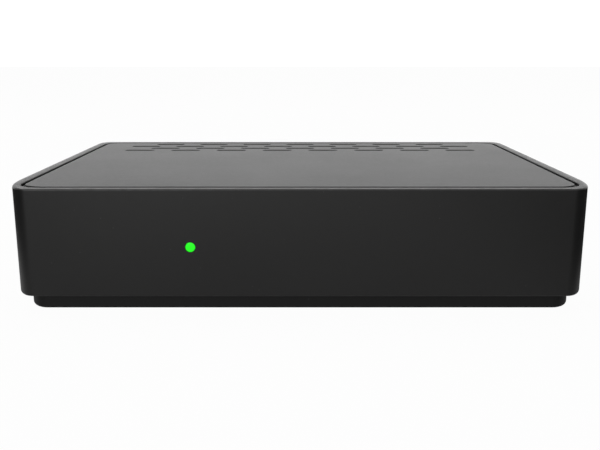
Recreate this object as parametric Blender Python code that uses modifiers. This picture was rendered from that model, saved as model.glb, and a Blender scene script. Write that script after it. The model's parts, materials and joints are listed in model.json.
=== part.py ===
# Compact terrestrial television receiver, modelled as the separate pieces that it comes apart into.
# Metres, +Z up, front towards -Y. The origin is on the floor, under the middle of the whole part.

import math

import bmesh
import bpy
from mathutils import Vector

# Case
CASE_WIDTH = 0.168
CASE_DEPTH = 0.1130
SHELL_HEIGHT = 0.0312
PLINTH_HEIGHT = 0.0043
PLINTH_INSET = 0.0030
FRONT_CORNER_WIDTH = 0.0075
FRONT_CORNER_DEPTH = 0.0180
REAR_CORNER = 0.0060
LEAST_CORNER = 0.0010
SHELL_WALL = 0.0022
RIM_WIDTH = 0.0032
RIM_EDGE = 0.0006
SKIRT_EDGE = 0.0004
LEDGE_WIDTH = 0.0050
LEDGE_THICKNESS = 0.0016

# Fits and cuts
JOINT_GAP = 0.0003
OVERRUN = 0.0010
WELD_DISTANCE = 0.000001

# Facets of round stretches
CORNER_STEPS = 10
EDGE_STEPS = 2
ROUND_STEPS = 24
SMALL_ROUND_STEPS = 12
SLOT_END_STEPS = 5
ROUND_PROFILE_SHARE = 0.5
SMOOTH_ANGLE = math.radians(35)

# Lid
GROOVE_WIDTH = 0.0012
GROOVE_CORNER = 0.0102
GROOVE_DEPTH = 0.0007
LID_FLANGE = 0.0013
LID_EDGE = 0.0003
PEG_RADIUS = 0.0010
PEG_LENGTH = 0.0030
PEG_SPACING = 0.0900
VENT_LENGTH = 0.0109
VENT_WIDTH = 0.0022
VENT_PITCH = 0.01766
VENT_ROW_SPACING = 0.0062
VENT_SETBACK = 0.0094
VENT_ROW_COUNTS = (7, 8, 7, 8)

# Base tray
TRAY_WALL = 0.0018
TRAY_FLOOR_THICKNESS = 0.0018
TRAY_UPSTAND = 0.0030
PLINTH_EDGE = 0.0003
FLOOR_VENT_LENGTH = 0.0140
FLOOR_VENT_WIDTH = 0.0022
FLOOR_VENT_PITCH = 0.0200
FLOOR_VENT_ROW_SPACING = 0.0090
FLOOR_VENT_COLUMNS = 5
FLOOR_VENT_ROWS = 3

# Feet
FOOT_RADIUS = 0.0060
FOOT_DROP = 0.0010
FOOT_RECESS = 0.0010
FOOT_EDGE = 0.0005
FOOT_SIDE_INSET = 0.0180
FOOT_END_INSET = 0.0260

# Case screws and the bosses that take them
CASE_BOSS_RADIUS = 0.0032
CASE_BOSS_SIDE_INSET = 0.0075
CASE_BOSS_FRONT_SETBACK = 0.0180
CASE_BOSS_REAR_SETBACK = 0.0300
CASE_BOSS_RIB = 0.0016
CASE_POST_RADIUS = 0.0042
COUNTERBORE_RADIUS = 0.0032
COUNTERBORE_DEPTH = 0.0030
CASE_SCREW_HEAD_RADIUS = 0.0027
CASE_SCREW_HEAD_HEIGHT = 0.0020
CASE_SCREW_SHANK_RADIUS = 0.0014
CASE_SCREW_LENGTH = 0.0120
HEAD_CROWN_SHARE = 0.35
SCREW_TIP_SHARE = 0.5
DRIVE_SLOT_SHARES = (1.2, 0.24, 0.5)

# Main board
BOARD_SIDE_GAP = 0.0008
BOARD_FRONT_GAP = 0.0074
BOARD_THICKNESS = 0.0016
STANDOFF_HEIGHT = 0.0037
STANDOFF_RADIUS = 0.0030
BOARD_SCREW_SIDE_INSET = 0.0050
BOARD_SCREW_FRONT_INSET = 0.0050
BOARD_SCREW_REAR_INSET = 0.0320
BOARD_SCREW_HEAD_RADIUS = 0.0025
BOARD_SCREW_HEAD_HEIGHT = 0.0018
BOARD_SCREW_SHANK_RADIUS = 0.0012
BOARD_SCREW_LENGTH = 0.0045

# Rear panel and the row of connectors along it
PANEL_THICKNESS = 0.0015
PANEL_SIDE_GAP = 0.0003
PANEL_LAP = 0.0020
PANEL_RIB = 0.0014
WINDOW_HEADER = 0.0020
ROW_END_GAP = 0.0033

# Power switch
BEZEL_WIDTH = 0.0108
BEZEL_THICKNESS = 0.0014
BEZEL_LAP = 0.0009
BEZEL_EDGE = 0.0004
SWITCH_WALL = 0.0010
SWITCH_DEPTH = 0.0110
SWITCH_LIFT = 0.0022
ROCKER_HEIGHT = 0.0110
ROCKER_FACE_REACH = 0.0022
ROCKER_PROUD = 0.0004
ROCKER_SKIRT = 0.0018
ROCKER_ROOT_DEPTH = 0.0030
ROCKER_ROOT_SHARE = 0.4
ROCKER_TILT = math.radians(10)
PIVOT_RADIUS = 0.0010
PIVOT_STUB_SHARE = 0.7
SWITCH_LEG_WIDTH = 0.0020
SWITCH_LEG_THICKNESS = 0.0008
SWITCH_LEG_REACH = 0.0030
SWITCH_LEG_SPREAD_SHARE = 0.5

# Power inlet
JACK_WIDTH = 0.0090
JACK_HEIGHT = 0.0110
JACK_DEPTH = 0.0120
JACK_AXIS_HEIGHT = 0.0062
JACK_COLLAR_RADIUS = 0.0042
JACK_COLLAR_PROUD = 0.0010
JACK_BORE_RADIUS = 0.0031
JACK_BORE_DEPTH = 0.0095
JACK_PIN_RADIUS = 0.00105
JACK_PIN_SHORT = 0.0010

# Audio and video socket
SCART_WIDTH = 0.0460
SCART_HEIGHT = 0.0172
SCART_DEPTH = 0.0160
SCART_PROUD = 0.0016
SCART_RIM = 0.0014
SCART_MOAT = 0.0016
SCART_MOAT_DEPTH = 0.0080
SCART_CORNER_SHARES = (0.34, 0.18)
SCART_SLOT_COUNT = 10
SCART_SLOT_SIZE = (0.0012, 0.0034)
SCART_SLOT_DEPTH = 0.0060
SCART_SLOT_SPAN_SHARE = 0.84
SCART_SLOT_RISE_SHARE = 0.22

# USB and HDMI sockets
USB_WIDTH = 0.0144
USB_HEIGHT = 0.0070
USB_DEPTH = 0.0150
HDMI_WIDTH = 0.0150
HDMI_HEIGHT = 0.0062
HDMI_DEPTH = 0.0120
HDMI_CHAMFER_SHARE = 0.35
SOCKET_WALL = 0.0005
SOCKET_PROUD = 0.0008
SOCKET_BACK = 0.0020
TONGUE_THICKNESS = 0.0016
TONGUE_WIDTH_SHARE = 0.8
TONGUE_SHORT = 0.0020
USB_TONGUE_RISE_SHARE = 0.16

# Tuner and aerial connectors
TUNER_WIDTH = 0.0320
TUNER_DEPTH = 0.0200
TUNER_HEIGHT = 0.0150
TUNER_WALL = 0.0006
TUNER_COVER_SKIRT = 0.0030
AERIAL_SPACING = 0.0165
AERIAL_AXIS_HEIGHT = 0.0080
BARREL_REACH = 0.0095
BARREL_WALL = 0.0006
BARREL_BACK = 0.0025
SOCKET_BARREL_RADIUS = 0.0054
PLUG_BARREL_RADIUS = 0.0047
AERIAL_CONTACT_RADIUS = 0.0021
AERIAL_CONTACT_BORE = 0.00125
AERIAL_PIN_RADIUS = 0.0012
AERIAL_CORE_SHORT = 0.0010

# Front board, lamp and remote-control receiver
LAMP_X = -0.0310
LAMP_BELOW_TOP = 0.0167
LIGHT_PIPE_RADIUS = 0.00135
LIGHT_PIPE_CLEARANCE = 0.0001
LIGHT_PIPE_FLANGE_RADIUS = 0.0024
LIGHT_PIPE_FLANGE = 0.0010
LED_SIZE = (0.0032, 0.0016, 0.0028)
FRONT_BOARD_WIDTH = 0.0400
FRONT_BOARD_HEIGHT = 0.0230
FRONT_BOARD_THICKNESS = 0.0016
FRONT_BOARD_OFFSET = 0.0050
FRONT_POST_WIDTH = 0.0050
FRONT_POST_BACK = 0.0014
FRONT_POST_HEIGHT = 0.0060
FRONT_SLOT_FLOOR = 0.0012
FRONT_POST_SPREAD_SHARE = 0.7
IR_OFFSET = 0.0090
IR_SIZE = (0.0056, 0.0024, 0.0070)
IR_DOME_RADIUS = 0.0019
IR_DOME_FLATTEN_SHARE = 0.65
IR_POCKET_RADIUS = 0.0034
IR_POCKET_DEPTH = 0.0010

# Lead between the two boards
LINK_HEADER_SIZE = (0.0080, 0.0040, 0.0036)
LINK_PLUG_SIZE = (0.0092, 0.0050, 0.0060)
LINK_BEND_RADIUS = 0.0090
LINK_CABLE_WIDTH = 0.0066
LINK_CABLE_THICKNESS = 0.0009
LINK_BEND_STEPS = 8

# Components on the main board: size, then place as shares of half the board
PROCESSOR_SIZE = (0.0170, 0.0170, 0.0018)
PROCESSOR_PLACE_SHARES = (0.08, -0.12)
HEATSINK_SIZE = (0.0220, 0.0220, 0.0100)
HEATSINK_BASE = 0.0020
HEATSINK_FIN = 0.0011
HEATSINK_FIN_INSET = 0.0002
HEATSINK_FIN_COUNT = 6
MEMORY_SIZE = (0.0100, 0.0125, 0.0012)
MEMORY_PLACE_SHARES = (0.46, -0.12)
FLASH_SIZE = (0.0078, 0.0053, 0.0018)
FLASH_PLACE_SHARES = (0.42, -0.62)
CRYSTAL_SIZE = (0.0110, 0.0045, 0.0035)
CRYSTAL_PLACE_SHARES = (-0.18, -0.66)
CHIP_EDGE = 0.0002
CRYSTAL_EDGE = 0.0012
INDUCTOR_SIZE = (0.0070, 0.0070, 0.0042)
INDUCTOR_EDGE = 0.0010
INDUCTOR_PLACE_SHARES = ((-0.52, -0.10), (-0.52, -0.42))
LARGE_CAPACITOR = (0.0040, 0.0115)
LARGE_CAPACITOR_PLACE_SHARES = ((-0.80, -0.12), (-0.80, -0.40))
SMALL_CAPACITOR = (0.00315, 0.0110)
SMALL_CAPACITOR_PLACE_SHARES = ((-0.30, -0.06), (-0.30, -0.34))
CAPACITOR_EDGE = 0.0005

# Places that follow from the sizes
PLINTH_BOTTOM = FOOT_DROP
SHELL_BOTTOM = PLINTH_BOTTOM + PLINTH_HEIGHT
CASE_TOP = SHELL_BOTTOM + SHELL_HEIGHT
CASE_FRONT = -(CASE_DEPTH - SHELL_WALL - JOINT_GAP + BARREL_REACH) / 2
CASE_REAR = CASE_FRONT + CASE_DEPTH
CASE_MIDDLE = (CASE_FRONT + CASE_REAR) / 2
LID_BOTTOM = CASE_TOP - GROOVE_DEPTH - LID_FLANGE
LEDGE_TOP = LID_BOTTOM - JOINT_GAP
LEDGE_BOTTOM = LEDGE_TOP - LEDGE_THICKNESS
LEDGE_MIDDLE_INSET = RIM_WIDTH + LEDGE_WIDTH / 2
TRAY_FLOOR = PLINTH_BOTTOM + TRAY_FLOOR_THICKNESS
TRAY_TOP = SHELL_BOTTOM + TRAY_UPSTAND
PANEL_OUTER = CASE_REAR - SHELL_WALL - JOINT_GAP
PANEL_INNER = PANEL_OUTER - PANEL_THICKNESS
PANEL_BOTTOM = SHELL_BOTTOM + JOINT_GAP
PANEL_TOP = LEDGE_BOTTOM - JOINT_GAP
PANEL_WIDTH = CASE_WIDTH - 2 * (max(REAR_CORNER, SHELL_WALL) + PANEL_SIDE_GAP)
WINDOW_WIDTH = PANEL_WIDTH - 2 * PANEL_LAP
WINDOW_TOP = PANEL_TOP - WINDOW_HEADER
RIB_FRONT = PANEL_INNER - JOINT_GAP - PANEL_RIB
STANDOFF_TOP = TRAY_FLOOR + STANDOFF_HEIGHT
BOARD_BOTTOM = STANDOFF_TOP + JOINT_GAP
BOARD_TOP = BOARD_BOTTOM + BOARD_THICKNESS
SEAT = BOARD_TOP + JOINT_GAP
BOSS_X = CASE_WIDTH / 2 - CASE_BOSS_SIDE_INSET
BOSS_YS = (CASE_FRONT + CASE_BOSS_FRONT_SETBACK, CASE_REAR - CASE_BOSS_REAR_SETBACK)
SCREW_SEAT = PLINTH_BOTTOM + COUNTERBORE_DEPTH
LAMP_Z = CASE_TOP - LAMP_BELOW_TOP
SHELL_FRONT_INNER = CASE_FRONT + SHELL_WALL
FLANGE_FRONT = SHELL_FRONT_INNER + JOINT_GAP
FLANGE_BACK = FLANGE_FRONT + LIGHT_PIPE_FLANGE
LED_FRONT = FLANGE_BACK + JOINT_GAP
LED_BACK = LED_FRONT + LED_SIZE[1]
FRONT_BOARD_FACE = LED_BACK + JOINT_GAP
FRONT_BOARD_BACK = FRONT_BOARD_FACE + FRONT_BOARD_THICKNESS
FRONT_POST_END = FRONT_BOARD_BACK + JOINT_GAP + FRONT_POST_BACK
FRONT_BOARD_X = LAMP_X + FRONT_BOARD_OFFSET
FRONT_BOARD_BOTTOM = TRAY_FLOOR + FRONT_SLOT_FLOOR + JOINT_GAP
BOARD_WIDTH = 2 * (BOSS_X - CASE_POST_RADIUS - BOARD_SIDE_GAP)
BOARD_FRONT = FRONT_POST_END + BOARD_FRONT_GAP
BOARD_REAR = RIB_FRONT - JOINT_GAP
BOARD_DEPTH = BOARD_REAR - BOARD_FRONT
BOARD_MIDDLE = (BOARD_FRONT + BOARD_REAR) / 2
SWITCH_BODY_WIDTH = BEZEL_WIDTH - 2 * BEZEL_LAP
SWITCH_CAVITY_WIDTH = SWITCH_BODY_WIDTH - 2 * SWITCH_WALL
ROCKER_WIDTH = SWITCH_CAVITY_WIDTH - 2 * JOINT_GAP
ROCKER_DIP = ROCKER_HEIGHT / 2 * math.tan(ROCKER_TILT)
ROCKER_TIP_REACH = ROCKER_FACE_REACH + ROCKER_DIP
ROCKER_SWEEP = ROCKER_HEIGHT / 2 * math.cos(ROCKER_TILT) + ROCKER_TIP_REACH * math.sin(ROCKER_TILT)
SWITCH_CAVITY_HEIGHT = 2 * (ROCKER_SWEEP + JOINT_GAP)
SWITCH_BODY_HEIGHT = SWITCH_CAVITY_HEIGHT + 2 * SWITCH_WALL
BEZEL_HEIGHT = SWITCH_BODY_HEIGHT + 2 * BEZEL_LAP
SWITCH_Z = SEAT + SWITCH_LIFT + SWITCH_BODY_HEIGHT / 2
BEZEL_OUTER = PANEL_OUTER + JOINT_GAP + BEZEL_THICKNESS
SWITCH_BACK = PANEL_OUTER - SWITCH_DEPTH
PIVOT_Y = BEZEL_OUTER + ROCKER_PROUD - ROCKER_FACE_REACH
ROW_WIDTHS = (BEZEL_WIDTH, JACK_WIDTH, SCART_WIDTH, USB_WIDTH, HDMI_WIDTH, TUNER_WIDTH)


def row_places(widths, length):
    """Middles of pieces that stand side by side, evenly spaced, in a row of that length about X = 0."""
    spacing = (length - sum(widths)) / (len(widths) - 1)
    edge = -length / 2
    places = []
    for width in widths:
        places.append(edge + width / 2)
        edge += width + spacing
    return places


ROW_LENGTH = WINDOW_WIDTH - 2 * ROW_END_GAP
SWITCH_X, JACK_X, SCART_X, USB_X, HDMI_X, TUNER_X = row_places(ROW_WIDTHS, ROW_LENGTH)
AERIAL_IN_X = TUNER_X + AERIAL_SPACING / 2
AERIAL_OUT_X = TUNER_X - AERIAL_SPACING / 2
AERIAL_Z = SEAT + AERIAL_AXIS_HEIGHT
TUNER_BACK = PANEL_INNER - JOINT_GAP

for leftover in list(bpy.data.objects):
    bpy.data.objects.remove(leftover, do_unlink=True)

parts = bpy.data.collections.new("terrestrial_tv_receiver")
cutters = bpy.data.collections.new("cutters")
for collection in (parts, cutters):
    bpy.context.scene.collection.children.link(collection)


def finish(name, colour, roughness, metallic=0.0):
    material = bpy.data.materials.new(name)
    material.use_nodes = True
    surface = material.node_tree.nodes["Principled BSDF"]
    surface.inputs["Base Color"].default_value = (*colour, 1.0)
    surface.inputs["Roughness"].default_value = roughness
    surface.inputs["Metallic"].default_value = metallic
    return material


case_black = finish("case_black", (0.016, 0.016, 0.017), 0.45)
tray_black = finish("tray_black", (0.012, 0.012, 0.013), 0.55)
rubber = finish("rubber", (0.02, 0.02, 0.02), 0.85)
clear_green = finish("clear_green", (0.03, 0.9, 0.03), 0.2)
board_green = finish("board_green", (0.02, 0.11, 0.05), 0.4)
socket_black = finish("socket_black", (0.02, 0.02, 0.022), 0.5)
chip_black = finish("chip_black", (0.025, 0.025, 0.028), 0.5)
steel = finish("steel", (0.62, 0.63, 0.65), 0.3, 1.0)
tinplate = finish("tinplate", (0.55, 0.56, 0.57), 0.35, 1.0)
nickel = finish("nickel", (0.66, 0.64, 0.6), 0.25, 1.0)
aluminium = finish("aluminium", (0.7, 0.71, 0.72), 0.35, 1.0)
white_nylon = finish("white_nylon", (0.75, 0.74, 0.7), 0.5)
grey_ribbon = finish("grey_ribbon", (0.35, 0.36, 0.38), 0.6)
led_white = finish("led_white", (0.7, 0.75, 0.6), 0.3)
lens_dark = finish("lens_dark", (0.03, 0.02, 0.03), 0.15)
ferrite = finish("ferrite", (0.06, 0.06, 0.065), 0.6)
sleeve = finish("sleeve", (0.02, 0.03, 0.06), 0.35)


def place(name, mesh, location, material):
    """A named object in the parts collection, with its mesh about its own origin."""
    piece = bpy.data.objects.new(name, mesh)
    piece.location = location
    if material:
        mesh.materials.append(material)
    parts.objects.link(piece)
    return piece


def mesh_of(name, bm):
    mesh = bpy.data.meshes.new(name)
    bm.to_mesh(mesh)
    bm.free()
    mesh.shade_smooth()
    mesh.set_sharp_from_angle(angle=SMOOTH_ANGLE)
    return mesh


def as_cutter(piece):
    parts.objects.unlink(piece)
    cutters.objects.link(piece)
    piece.hide_render = True
    piece.display_type = "WIRE"
    return piece


def combine(piece, tool, operation):
    as_cutter(tool)
    boolean = piece.modifiers.new(tool.name, "BOOLEAN")
    boolean.object = tool
    boolean.operation = operation
    boolean.solver = "EXACT"


def cut(piece, *tools):
    for tool in tools:
        combine(piece, tool, "DIFFERENCE")


def join(piece, *tools):
    for tool in tools:
        combine(piece, tool, "UNION")


def soften(piece, radius, steps=EDGE_STEPS):
    """Rounds every sharp edge of a piece."""
    bevel = piece.modifiers.new("rounded_edges", "BEVEL")
    bevel.width = radius
    bevel.segments = steps
    bevel.limit_method = "ANGLE"
    bevel.angle_limit = SMOOTH_ANGLE


def round_edges(bm, edges, radius, steps):
    bmesh.ops.bevel(
        bm,
        geom=edges,
        offset=radius,
        offset_type="OFFSET",
        segments=steps,
        profile=ROUND_PROFILE_SHARE,
        affect="EDGES",
    )


def round_corners(bm, side, width, depth):
    """Rounds the two upright edges of one end to quarter ellipses, in a plan that is squashed for them."""
    width = max(width, LEAST_CORNER)
    squash = width / max(depth, LEAST_CORNER)
    bmesh.ops.scale(bm, vec=(1, squash, 1), verts=bm.verts)
    upright = [
        edge
        for edge in bm.edges
        if all(vert.co.y * side > 0 for vert in edge.verts)
        and edge.verts[0].co.z * edge.verts[1].co.z < 0
        and edge.verts[0].co.x * edge.verts[1].co.x > 0
    ]
    round_edges(bm, upright, width, CORNER_STEPS)
    bmesh.ops.scale(bm, vec=(1, 1 / squash, 1), verts=bm.verts)


def box(name, low, high, material=None):
    low = Vector(low)
    high = Vector(high)
    bm = bmesh.new()
    bmesh.ops.create_cube(bm, size=1)
    bmesh.ops.scale(bm, vec=high - low, verts=bm.verts)
    return place(name, mesh_of(name, bm), (low + high) / 2, material)


def block(name, size, base, material=None):
    """A box of a given size that stands on the middle of its base."""
    width, depth, height = size
    low = (base[0] - width / 2, base[1] - depth / 2, base[2])
    high = (base[0] + width / 2, base[1] + depth / 2, base[2] + height)
    return box(name, low, high, material)


def plan_block(name, inset, bottom, top, material=None, top_edge=0, bottom_edge=0, groove=False):
    """The case's plan outline, or the groove's with its rounder front corners, drawn in by an inset."""
    half_width = CASE_WIDTH / 2 - inset
    half_depth = CASE_DEPTH / 2 - inset
    bm = bmesh.new()
    bmesh.ops.create_cube(bm, size=1)
    bmesh.ops.scale(bm, vec=(2 * half_width, 2 * half_depth, top - bottom), verts=bm.verts)
    if groove:
        round_corners(bm, -1, GROOVE_CORNER - inset, GROOVE_CORNER - inset)
    else:
        round_corners(bm, -1, FRONT_CORNER_WIDTH - inset, FRONT_CORNER_DEPTH - inset)
    round_corners(bm, 1, REAR_CORNER - inset, REAR_CORNER - inset)
    for side, radius in ((1, top_edge), (-1, bottom_edge)):
        if radius:
            outline = [edge for edge in bm.edges if all(vert.co.z * side > 0 for vert in edge.verts)]
            round_edges(bm, outline, radius, EDGE_STEPS)
    return place(name, mesh_of(name, bm), (0, CASE_MIDDLE, (bottom + top) / 2), material)


def rods(name, ends, radius, material=None, steps=ROUND_STEPS):
    """Round rods in one mesh, each from one end point to the other."""
    bm = bmesh.new()
    for start, stop in ends:
        start = Vector(start)
        span = Vector(stop) - start
        turn = span.to_track_quat("Z", "Y").to_matrix().to_4x4()
        turn.translation = start + span / 2
        bmesh.ops.create_cone(
            bm,
            cap_ends=True,
            segments=steps,
            radius1=radius,
            radius2=radius,
            depth=span.length,
            matrix=turn,
        )
    return place(name, mesh_of(name, bm), (0, 0, 0), material)


def pillars(name, places, radius, bottom, top, material=None, steps=ROUND_STEPS):
    """Upright rods between two heights."""
    return rods(name, [((x, y, bottom), (x, y, top)) for x, y in places], radius, material, steps)


def prism(name, outlines, thickness, location, rotation=(0, 0, 0), material=None):
    """Closed flat outlines in XY, filled and thickened evenly about their plane, then turned and placed."""
    curve = bpy.data.curves.new(name, "CURVE")
    curve.dimensions = "2D"
    curve.fill_mode = "BOTH"
    curve.extrude = thickness / 2
    for outline in outlines:
        spline = curve.splines.new("POLY")
        spline.points.add(len(outline) - 1)
        for point, (x, y) in zip(spline.points, outline):
            point.co = (x, y, 0, 1)
        spline.use_cyclic_u = True
    guide = bpy.data.objects.new(name + "_outline", curve)
    cutters.objects.link(guide)
    graph = bpy.context.evaluated_depsgraph_get()
    mesh = bpy.data.meshes.new_from_object(guide.evaluated_get(graph))
    bpy.data.objects.remove(guide, do_unlink=True)
    bm = bmesh.new()
    bm.from_mesh(mesh)
    bmesh.ops.remove_doubles(bm, verts=bm.verts, dist=WELD_DISTANCE)
    bmesh.ops.recalc_face_normals(bm, faces=bm.faces)
    piece = place(name, mesh_of(name, bm), location, material)
    piece.rotation_euler = rotation
    return piece


# A prism's plane turned to face the rear, and turned to face the side
FACING_REAR = (math.pi / 2, 0, 0)
FACING_SIDE = (math.pi / 2, 0, math.pi / 2)


def turned(name, profile, location, rotation=(0, 0, 0), material=None, steps=ROUND_STEPS):
    """A profile of (radius, height) points, from its top to its bottom, spun about Z."""
    mesh = bpy.data.meshes.new(name)
    points = [(radius, 0, height) for radius, height in profile]
    mesh.from_pydata(points, [(i, i + 1) for i in range(len(points) - 1)], [])
    piece = place(name, mesh, location, material)
    piece.rotation_euler = rotation
    screw = piece.modifiers.new("turned", "SCREW")
    screw.axis = "Z"
    screw.angle = 2 * math.pi
    screw.steps = steps
    screw.render_steps = steps
    screw.use_merge_vertices = True
    screw.merge_threshold = WELD_DISTANCE
    screw.use_smooth_shade = True
    return piece


# Turns a spun profile's top towards the rear, and its top towards the floor
TOP_TO_REAR = (-math.pi / 2, 0, 0)
TOP_TO_FLOOR = (math.pi, 0, 0)


def slot_outline(middle_x, middle_y, length, width):
    """A slot with half-round ends, long side along X."""
    radius = width / 2
    points = []
    for side in (1, -1):
        for step in range(SLOT_END_STEPS + 1):
            angle = math.pi * (step / SLOT_END_STEPS - 0.5)
            x = side * (length / 2 - radius + radius * math.cos(angle))
            y = side * radius * math.sin(angle)
            points.append((middle_x + x, middle_y + y))
    return points


def spread(count, pitch):
    """Evenly spaced places about zero."""
    return [(index - (count - 1) / 2) * pitch for index in range(count)]


def case_screw_places():
    return [(x, y) for x in (-BOSS_X, BOSS_X) for y in BOSS_YS]


def board_screw_places():
    x = BOARD_WIDTH / 2 - BOARD_SCREW_SIDE_INSET
    ys = (BOARD_FRONT + BOARD_SCREW_FRONT_INSET, BOARD_REAR - BOARD_SCREW_REAR_INSET)
    return [(side * x, y) for side in (-1, 1) for y in ys]


def foot_places():
    x = CASE_WIDTH / 2 - FOOT_SIDE_INSET
    ys = (CASE_FRONT + FOOT_END_INSET, CASE_REAR - FOOT_END_INSET)
    return [(side * x, y) for side in (-1, 1) for y in ys]


def peg_places():
    """Pegs along the front and rear ledges, and one in the middle of each side ledge."""
    x = CASE_WIDTH / 2 - LEDGE_MIDDLE_INSET
    y = CASE_DEPTH / 2 - LEDGE_MIDDLE_INSET
    places = [(-x, CASE_MIDDLE), (x, CASE_MIDDLE)]
    for side in (-1, 1):
        places += [(-PEG_SPACING / 2, CASE_MIDDLE + side * y), (PEG_SPACING / 2, CASE_MIDDLE + side * y)]
    return places


def make_upper_shell():
    shell = plan_block(
        "upper_shell", 0, SHELL_BOTTOM, CASE_TOP, case_black, top_edge=RIM_EDGE, bottom_edge=SKIRT_EDGE
    )
    cavity = plan_block("shell_cavity", SHELL_WALL, SHELL_BOTTOM - OVERRUN, LEDGE_BOTTOM)
    ledge_edge = RIM_WIDTH + LEDGE_WIDTH
    opening = plan_block("ledge_opening", ledge_edge, LEDGE_BOTTOM - OVERRUN, LEDGE_TOP + OVERRUN)
    pocket = plan_block("lid_pocket", RIM_WIDTH, LEDGE_TOP, CASE_TOP + OVERRUN, groove=True)
    window = box(
        "rear_window",
        (-WINDOW_WIDTH / 2, CASE_REAR - SHELL_WALL - OVERRUN, SHELL_BOTTOM - OVERRUN),
        (WINDOW_WIDTH / 2, CASE_REAR + OVERRUN, WINDOW_TOP),
    )
    cut(shell, cavity, opening, pocket, window)
    boss_bottom = TRAY_TOP + JOINT_GAP
    boss_top = LEDGE_BOTTOM + LEDGE_THICKNESS / 2
    bosses = pillars("case_bosses", case_screw_places(), CASE_BOSS_RADIUS, boss_bottom, boss_top)
    join(shell, bosses)
    wall_middle = CASE_WIDTH / 2 - SHELL_WALL / 2
    for index, (x, y) in enumerate(case_screw_places()):
        low_x, high_x = sorted((x, math.copysign(wall_middle, x)))
        rib = box(
            f"boss_rib_{index + 1}",
            (low_x, y - CASE_BOSS_RIB / 2, boss_bottom),
            (high_x, y + CASE_BOSS_RIB / 2, boss_top),
        )
        join(shell, rib)
    pilot_top = SCREW_SEAT + CASE_SCREW_LENGTH + OVERRUN
    pilot_radius = CASE_SCREW_SHANK_RADIUS + JOINT_GAP
    pilots = pillars(
        "case_pilot_holes",
        case_screw_places(),
        pilot_radius,
        boss_bottom - OVERRUN,
        pilot_top,
        steps=SMALL_ROUND_STEPS,
    )
    peg_holes = pillars(
        "peg_holes",
        peg_places(),
        PEG_RADIUS + JOINT_GAP,
        LEDGE_BOTTOM - OVERRUN,
        LEDGE_TOP + OVERRUN,
        steps=SMALL_ROUND_STEPS,
    )
    lamp_hole = rods(
        "lamp_hole",
        [((LAMP_X, CASE_FRONT - OVERRUN, LAMP_Z), (LAMP_X, SHELL_FRONT_INNER + OVERRUN, LAMP_Z))],
        LIGHT_PIPE_RADIUS + LIGHT_PIPE_CLEARANCE,
    )
    pocket_x = LAMP_X + IR_OFFSET
    pocket_floor = SHELL_FRONT_INNER - IR_POCKET_DEPTH
    ir_pocket = rods(
        "ir_pocket",
        [((pocket_x, pocket_floor, LAMP_Z), (pocket_x, SHELL_FRONT_INNER + OVERRUN, LAMP_Z))],
        IR_POCKET_RADIUS,
    )
    cut(shell, pilots, peg_holes, lamp_hole, ir_pocket)


def make_top_panel():
    lid = plan_block(
        "top_panel", RIM_WIDTH + GROOVE_WIDTH, LID_BOTTOM, CASE_TOP, case_black, LID_EDGE, groove=True
    )
    flange = plan_block(
        "lid_flange", RIM_WIDTH + JOINT_GAP, LID_BOTTOM, CASE_TOP - GROOVE_DEPTH, groove=True
    )
    pegs = pillars(
        "lid_pegs",
        peg_places(),
        PEG_RADIUS,
        LID_BOTTOM - PEG_LENGTH,
        LID_BOTTOM + LID_FLANGE / 2,
        steps=SMALL_ROUND_STEPS,
    )
    join(lid, flange, pegs)
    slots = []
    for row, count in enumerate(VENT_ROW_COUNTS):
        y = CASE_REAR - VENT_SETBACK - row * VENT_ROW_SPACING
        slots += [slot_outline(x, y, VENT_LENGTH, VENT_WIDTH) for x in spread(count, VENT_PITCH)]
    lid_thickness = CASE_TOP - LID_BOTTOM
    vents = prism("lid_vents", slots, lid_thickness + 2 * OVERRUN, (0, 0, LID_BOTTOM + lid_thickness / 2))
    cut(lid, vents)


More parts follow.
